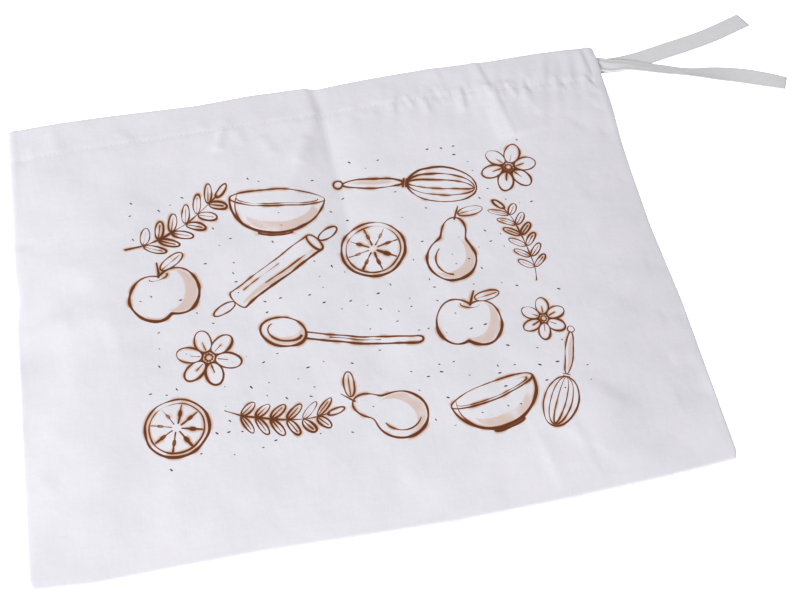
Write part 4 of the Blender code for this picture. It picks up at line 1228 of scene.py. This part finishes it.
def floor_material(settings):
    """Matt white studio paper: faint mottling, and a little light of its own, so it reads as plain white."""
    material, g, inputs = cloth_shader("studio paper", 0.95, 0.0)
    mottle, _ = g.noise(g.add("TexCoord").outputs["Object"], 3.0, 2.0)
    g.set(inputs["Base Color"], g.mix(mottle, opaque(settings.floor_colour), (0.90, 0.90, 0.90, 1.0)))
    inputs["Emission Color"].default_value = (1.0, 1.0, 1.0, 1.0)
    inputs["Emission Strength"].default_value = settings.floor_glow
    return material


# The photograph's camera
CAMERA_PLACE = Vector((-0.0489, -0.3770, 0.6281))
CAMERA_AIM = Vector((0.0287, -0.0162, 0.0))
CAMERA_ROLL = math.radians(1.21)
CAMERA_LENS = 56.34

FLOOR_SIZE = 24.0
FLOOR_BELOW = 0.0002
Light = namedtuple("Light", "name x y z size power colour")
LIGHTS = [Light("key", -1.86, -1.07, 1.80, 1.2, 61.0, (1.0, 0.99, 1.0)),
          Light("fill", 1.90, 0.50, 1.70, 1.6, 6.0, (1.0, 0.99, 1.0))]


def camera_matrix():
    """The camera's frame: it looks at its aim, rolled a little about its own line of sight."""
    forward = (CAMERA_AIM - CAMERA_PLACE).normalized()
    level = forward.cross(Vector((0.0, 0.0, 1.0))).normalized()
    upright = level.cross(forward)
    right = level * math.cos(CAMERA_ROLL) + upright * math.sin(CAMERA_ROLL)
    up = upright * math.cos(CAMERA_ROLL) - level * math.sin(CAMERA_ROLL)
    turn = Matrix((right, up, -forward)).transposed()
    return Matrix.Translation(CAMERA_PLACE) @ turn.to_4x4()


def colour_setting(name, description, default):
    """A colour that the user can change."""
    return FloatVectorProperty(name=name, description=description, default=default,
                               subtype="COLOR", size=3, min=0.0, max=1.0)


class BagSettings(PropertyGroup):
    """Sizes and colours of the linen."""
    thickness: FloatProperty(name="Thickness", description="Thickness of the linen", default=CLOTH,
                             min=0.0002, max=0.001, subtype="DISTANCE", unit="LENGTH")
    weave_pitch: FloatProperty(name="Weave pitch", description="Width of one thread of the linen",
                               default=0.00048, min=0.0002, max=0.003, subtype="DISTANCE", unit="LENGTH")
    colour: colour_setting("Colour", "Lit colour of the linen", (0.80, 0.79, 0.83))
    shade_colour: colour_setting("Thread colour", "Colour of the darker threads", (0.72, 0.71, 0.76))
    ink_colour: colour_setting("Ink", "Colour of the printed lines", (0.34, 0.125, 0.045))
    core_colour: colour_setting("Ink core", "Colour in the middle of the printed lines", (0.125, 0.037, 0.012))
    wash_colour: colour_setting("Wash", "Colour of the printed shading", (0.64, 0.40, 0.26))
    fleck_colour: colour_setting("Flecks", "Colour of the printed flecks", (0.060, 0.045, 0.040))


class TapeSettings(PropertyGroup):
    """Sizes and colours of the tape."""
    thickness: FloatProperty(name="Thickness", description="Thickness of the tape", default=TAPE_THICKNESS,
                             min=0.0004, max=0.001, subtype="DISTANCE", unit="LENGTH")
    weave_pitch: FloatProperty(name="Weave pitch", description="Width of one thread of the tape",
                               default=0.00055, min=0.0002, max=0.003, subtype="DISTANCE", unit="LENGTH")
    colour: colour_setting("Colour", "Lit colour of the tape", (0.79, 0.785, 0.80))
    shade_colour: colour_setting("Thread colour", "Colour between the threads", (0.645, 0.64, 0.665))


class StitchSettings(PropertyGroup):
    """Colour of the sewing thread."""
    colour: colour_setting("Colour", "Colour of the sewing thread", (0.80, 0.79, 0.82))


class StageSettings(PropertyGroup):
    """Floor and light of the studio."""
    floor_colour: colour_setting("Floor", "Colour of the floor", (0.93, 0.93, 0.93))
    floor_glow: FloatProperty(name="Floor glow", description="Light that the floor gives by itself",
                              default=1.0, min=0.0, max=2.0)
    sky: FloatProperty(name="Sky", description="Strength of the even light from all sides",
                       default=0.44, min=0.0, max=3.0)


class BREADBAG_OT_linen(Operator):
    """Build the bag's one cloth, hem to hem, with its printed outer side"""
    bl_idname = "bread_bag.linen"
    bl_label = "Linen bag"

    def execute(self, context):
        settings = context.scene.bread_bag_cloth
        points, flat = cloth_strip()
        mesh = grid_mesh("linen_bag", points, flat)
        piece = new_piece("linen_bag", mesh, "linen", *linen_materials(settings))
        thicken(piece, settings.thickness, 1)
        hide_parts("bag_cloth")
        return {"FINISHED"}


class BREADBAG_OT_tape(Operator):
    """Build the flat drawstring tape along its route through the channel"""
    bl_idname = "bread_bag.tape"
    bl_label = "Drawstring tape"

    def execute(self, context):
        settings = context.scene.bread_bag_tape
        points, flat, length = tape_surface()
        mesh = grid_mesh("flat_tape", points, flat)
        piece = new_piece("flat_tape", mesh, "cotton_tape", tape_material(settings))
        thicken(piece, settings.thickness)
        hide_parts("drawstring_tape")
        return {"FINISHED"}


class BREADBAG_OT_stitches(Operator):
    """Sew the channel down with a row of stitches on the front and one on the back"""
    bl_idname = "bread_bag.stitches"
    bl_label = "Channel stitches"

    def execute(self, context):
        rings = np.concatenate([stitch_row(True), stitch_row(False)])
        material = thread_material(context.scene.bread_bag_stitches)
        new_piece("channel_stitches", tubes_mesh("channel_stitches", rings), "linen", material)
        return {"FINISHED"}


class BREADBAG_OT_stage(Operator):
    """Set up the pale floor, the soft studio light and the camera"""
    bl_idname = "bread_bag.stage"
    bl_label = "Studio"

    def execute(self, context):
        scene = context.scene
        settings = scene.bread_bag_stage
        bpy.ops.mesh.primitive_grid_add(x_subdivisions=8, y_subdivisions=8, size=FLOOR_SIZE,
                                        location=(0, 0, -FLOOR_BELOW))
        floor = context.active_object
        floor.name = "studio_floor"
        floor.data.materials.append(floor_material(settings))
        for light in LIGHTS:
            lamp = bpy.data.lights.new(light.name, "AREA")
            lamp.size = light.size
            lamp.energy = light.power
            lamp.color = light.colour
            holder = bpy.data.objects.new(light.name, lamp)
            holder.location = (light.x, light.y, light.z)
            holder.rotation_euler = (-Vector(holder.location)).to_track_quat("-Z", "Y").to_euler()
            scene.collection.objects.link(holder)
        world = scene.world or bpy.data.worlds.new("studio")
        scene.world = world
        world.use_nodes = True
        background = world.node_tree.nodes["Background"]
        background.inputs["Color"].default_value = (0.98, 0.98, 1.0, 1.0)
        background.inputs["Strength"].default_value = settings.sky
        view = bpy.data.cameras.new("photo camera")
        view.lens = CAMERA_LENS
        view.sensor_width = 36.0
        camera = bpy.data.objects.new("photo camera", view)
        camera.matrix_world = camera_matrix()
        scene.collection.objects.link(camera)
        scene.camera = camera
        scene.view_settings.view_transform = "Standard"
        return {"FINISHED"}


class BREADBAG_PT_pieces(Panel):
    """The bag's pieces and their settings, in the 3D view's sidebar"""
    bl_label = "Bread Bag"
    bl_space_type = "VIEW_3D"
    bl_region_type = "UI"
    bl_category = "Bread Bag"

    def draw(self, context):
        for operator, name in zip(OPERATORS, SETTINGS):
            box = self.layout.box()
            box.operator(operator.bl_idname)
            settings = getattr(context.scene, name)
            for key in settings.__annotations__:
                box.prop(settings, key)


OPERATORS = (BREADBAG_OT_linen, BREADBAG_OT_tape, BREADBAG_OT_stitches, BREADBAG_OT_stage)
SETTINGS = {"bread_bag_cloth": BagSettings, "bread_bag_tape": TapeSettings,
            "bread_bag_stitches": StitchSettings, "bread_bag_stage": StageSettings}
CLASSES = (*SETTINGS.values(), *OPERATORS, BREADBAG_PT_pieces)


def register():
    """Add the classes to Blender and the settings to its scenes."""
    for cls in CLASSES:
        bpy.utils.register_class(cls)
    for name, cls in SETTINGS.items():
        setattr(bpy.types.Scene, name, PointerProperty(type=cls))


def unregister():
    """Take the settings and the classes away again."""
    for name in SETTINGS:
        delattr(bpy.types.Scene, name)
    for cls in reversed(CLASSES):
        bpy.utils.unregister_class(cls)


def main():
    """Build every piece in order."""
    register()
    bpy.ops.bread_bag.stage()
    bpy.ops.bread_bag.linen()
    bpy.ops.bread_bag.tape()
    bpy.ops.bread_bag.stitches()
    bpy.context.view_layer.update()


if __name__ == "__main__":
    main()
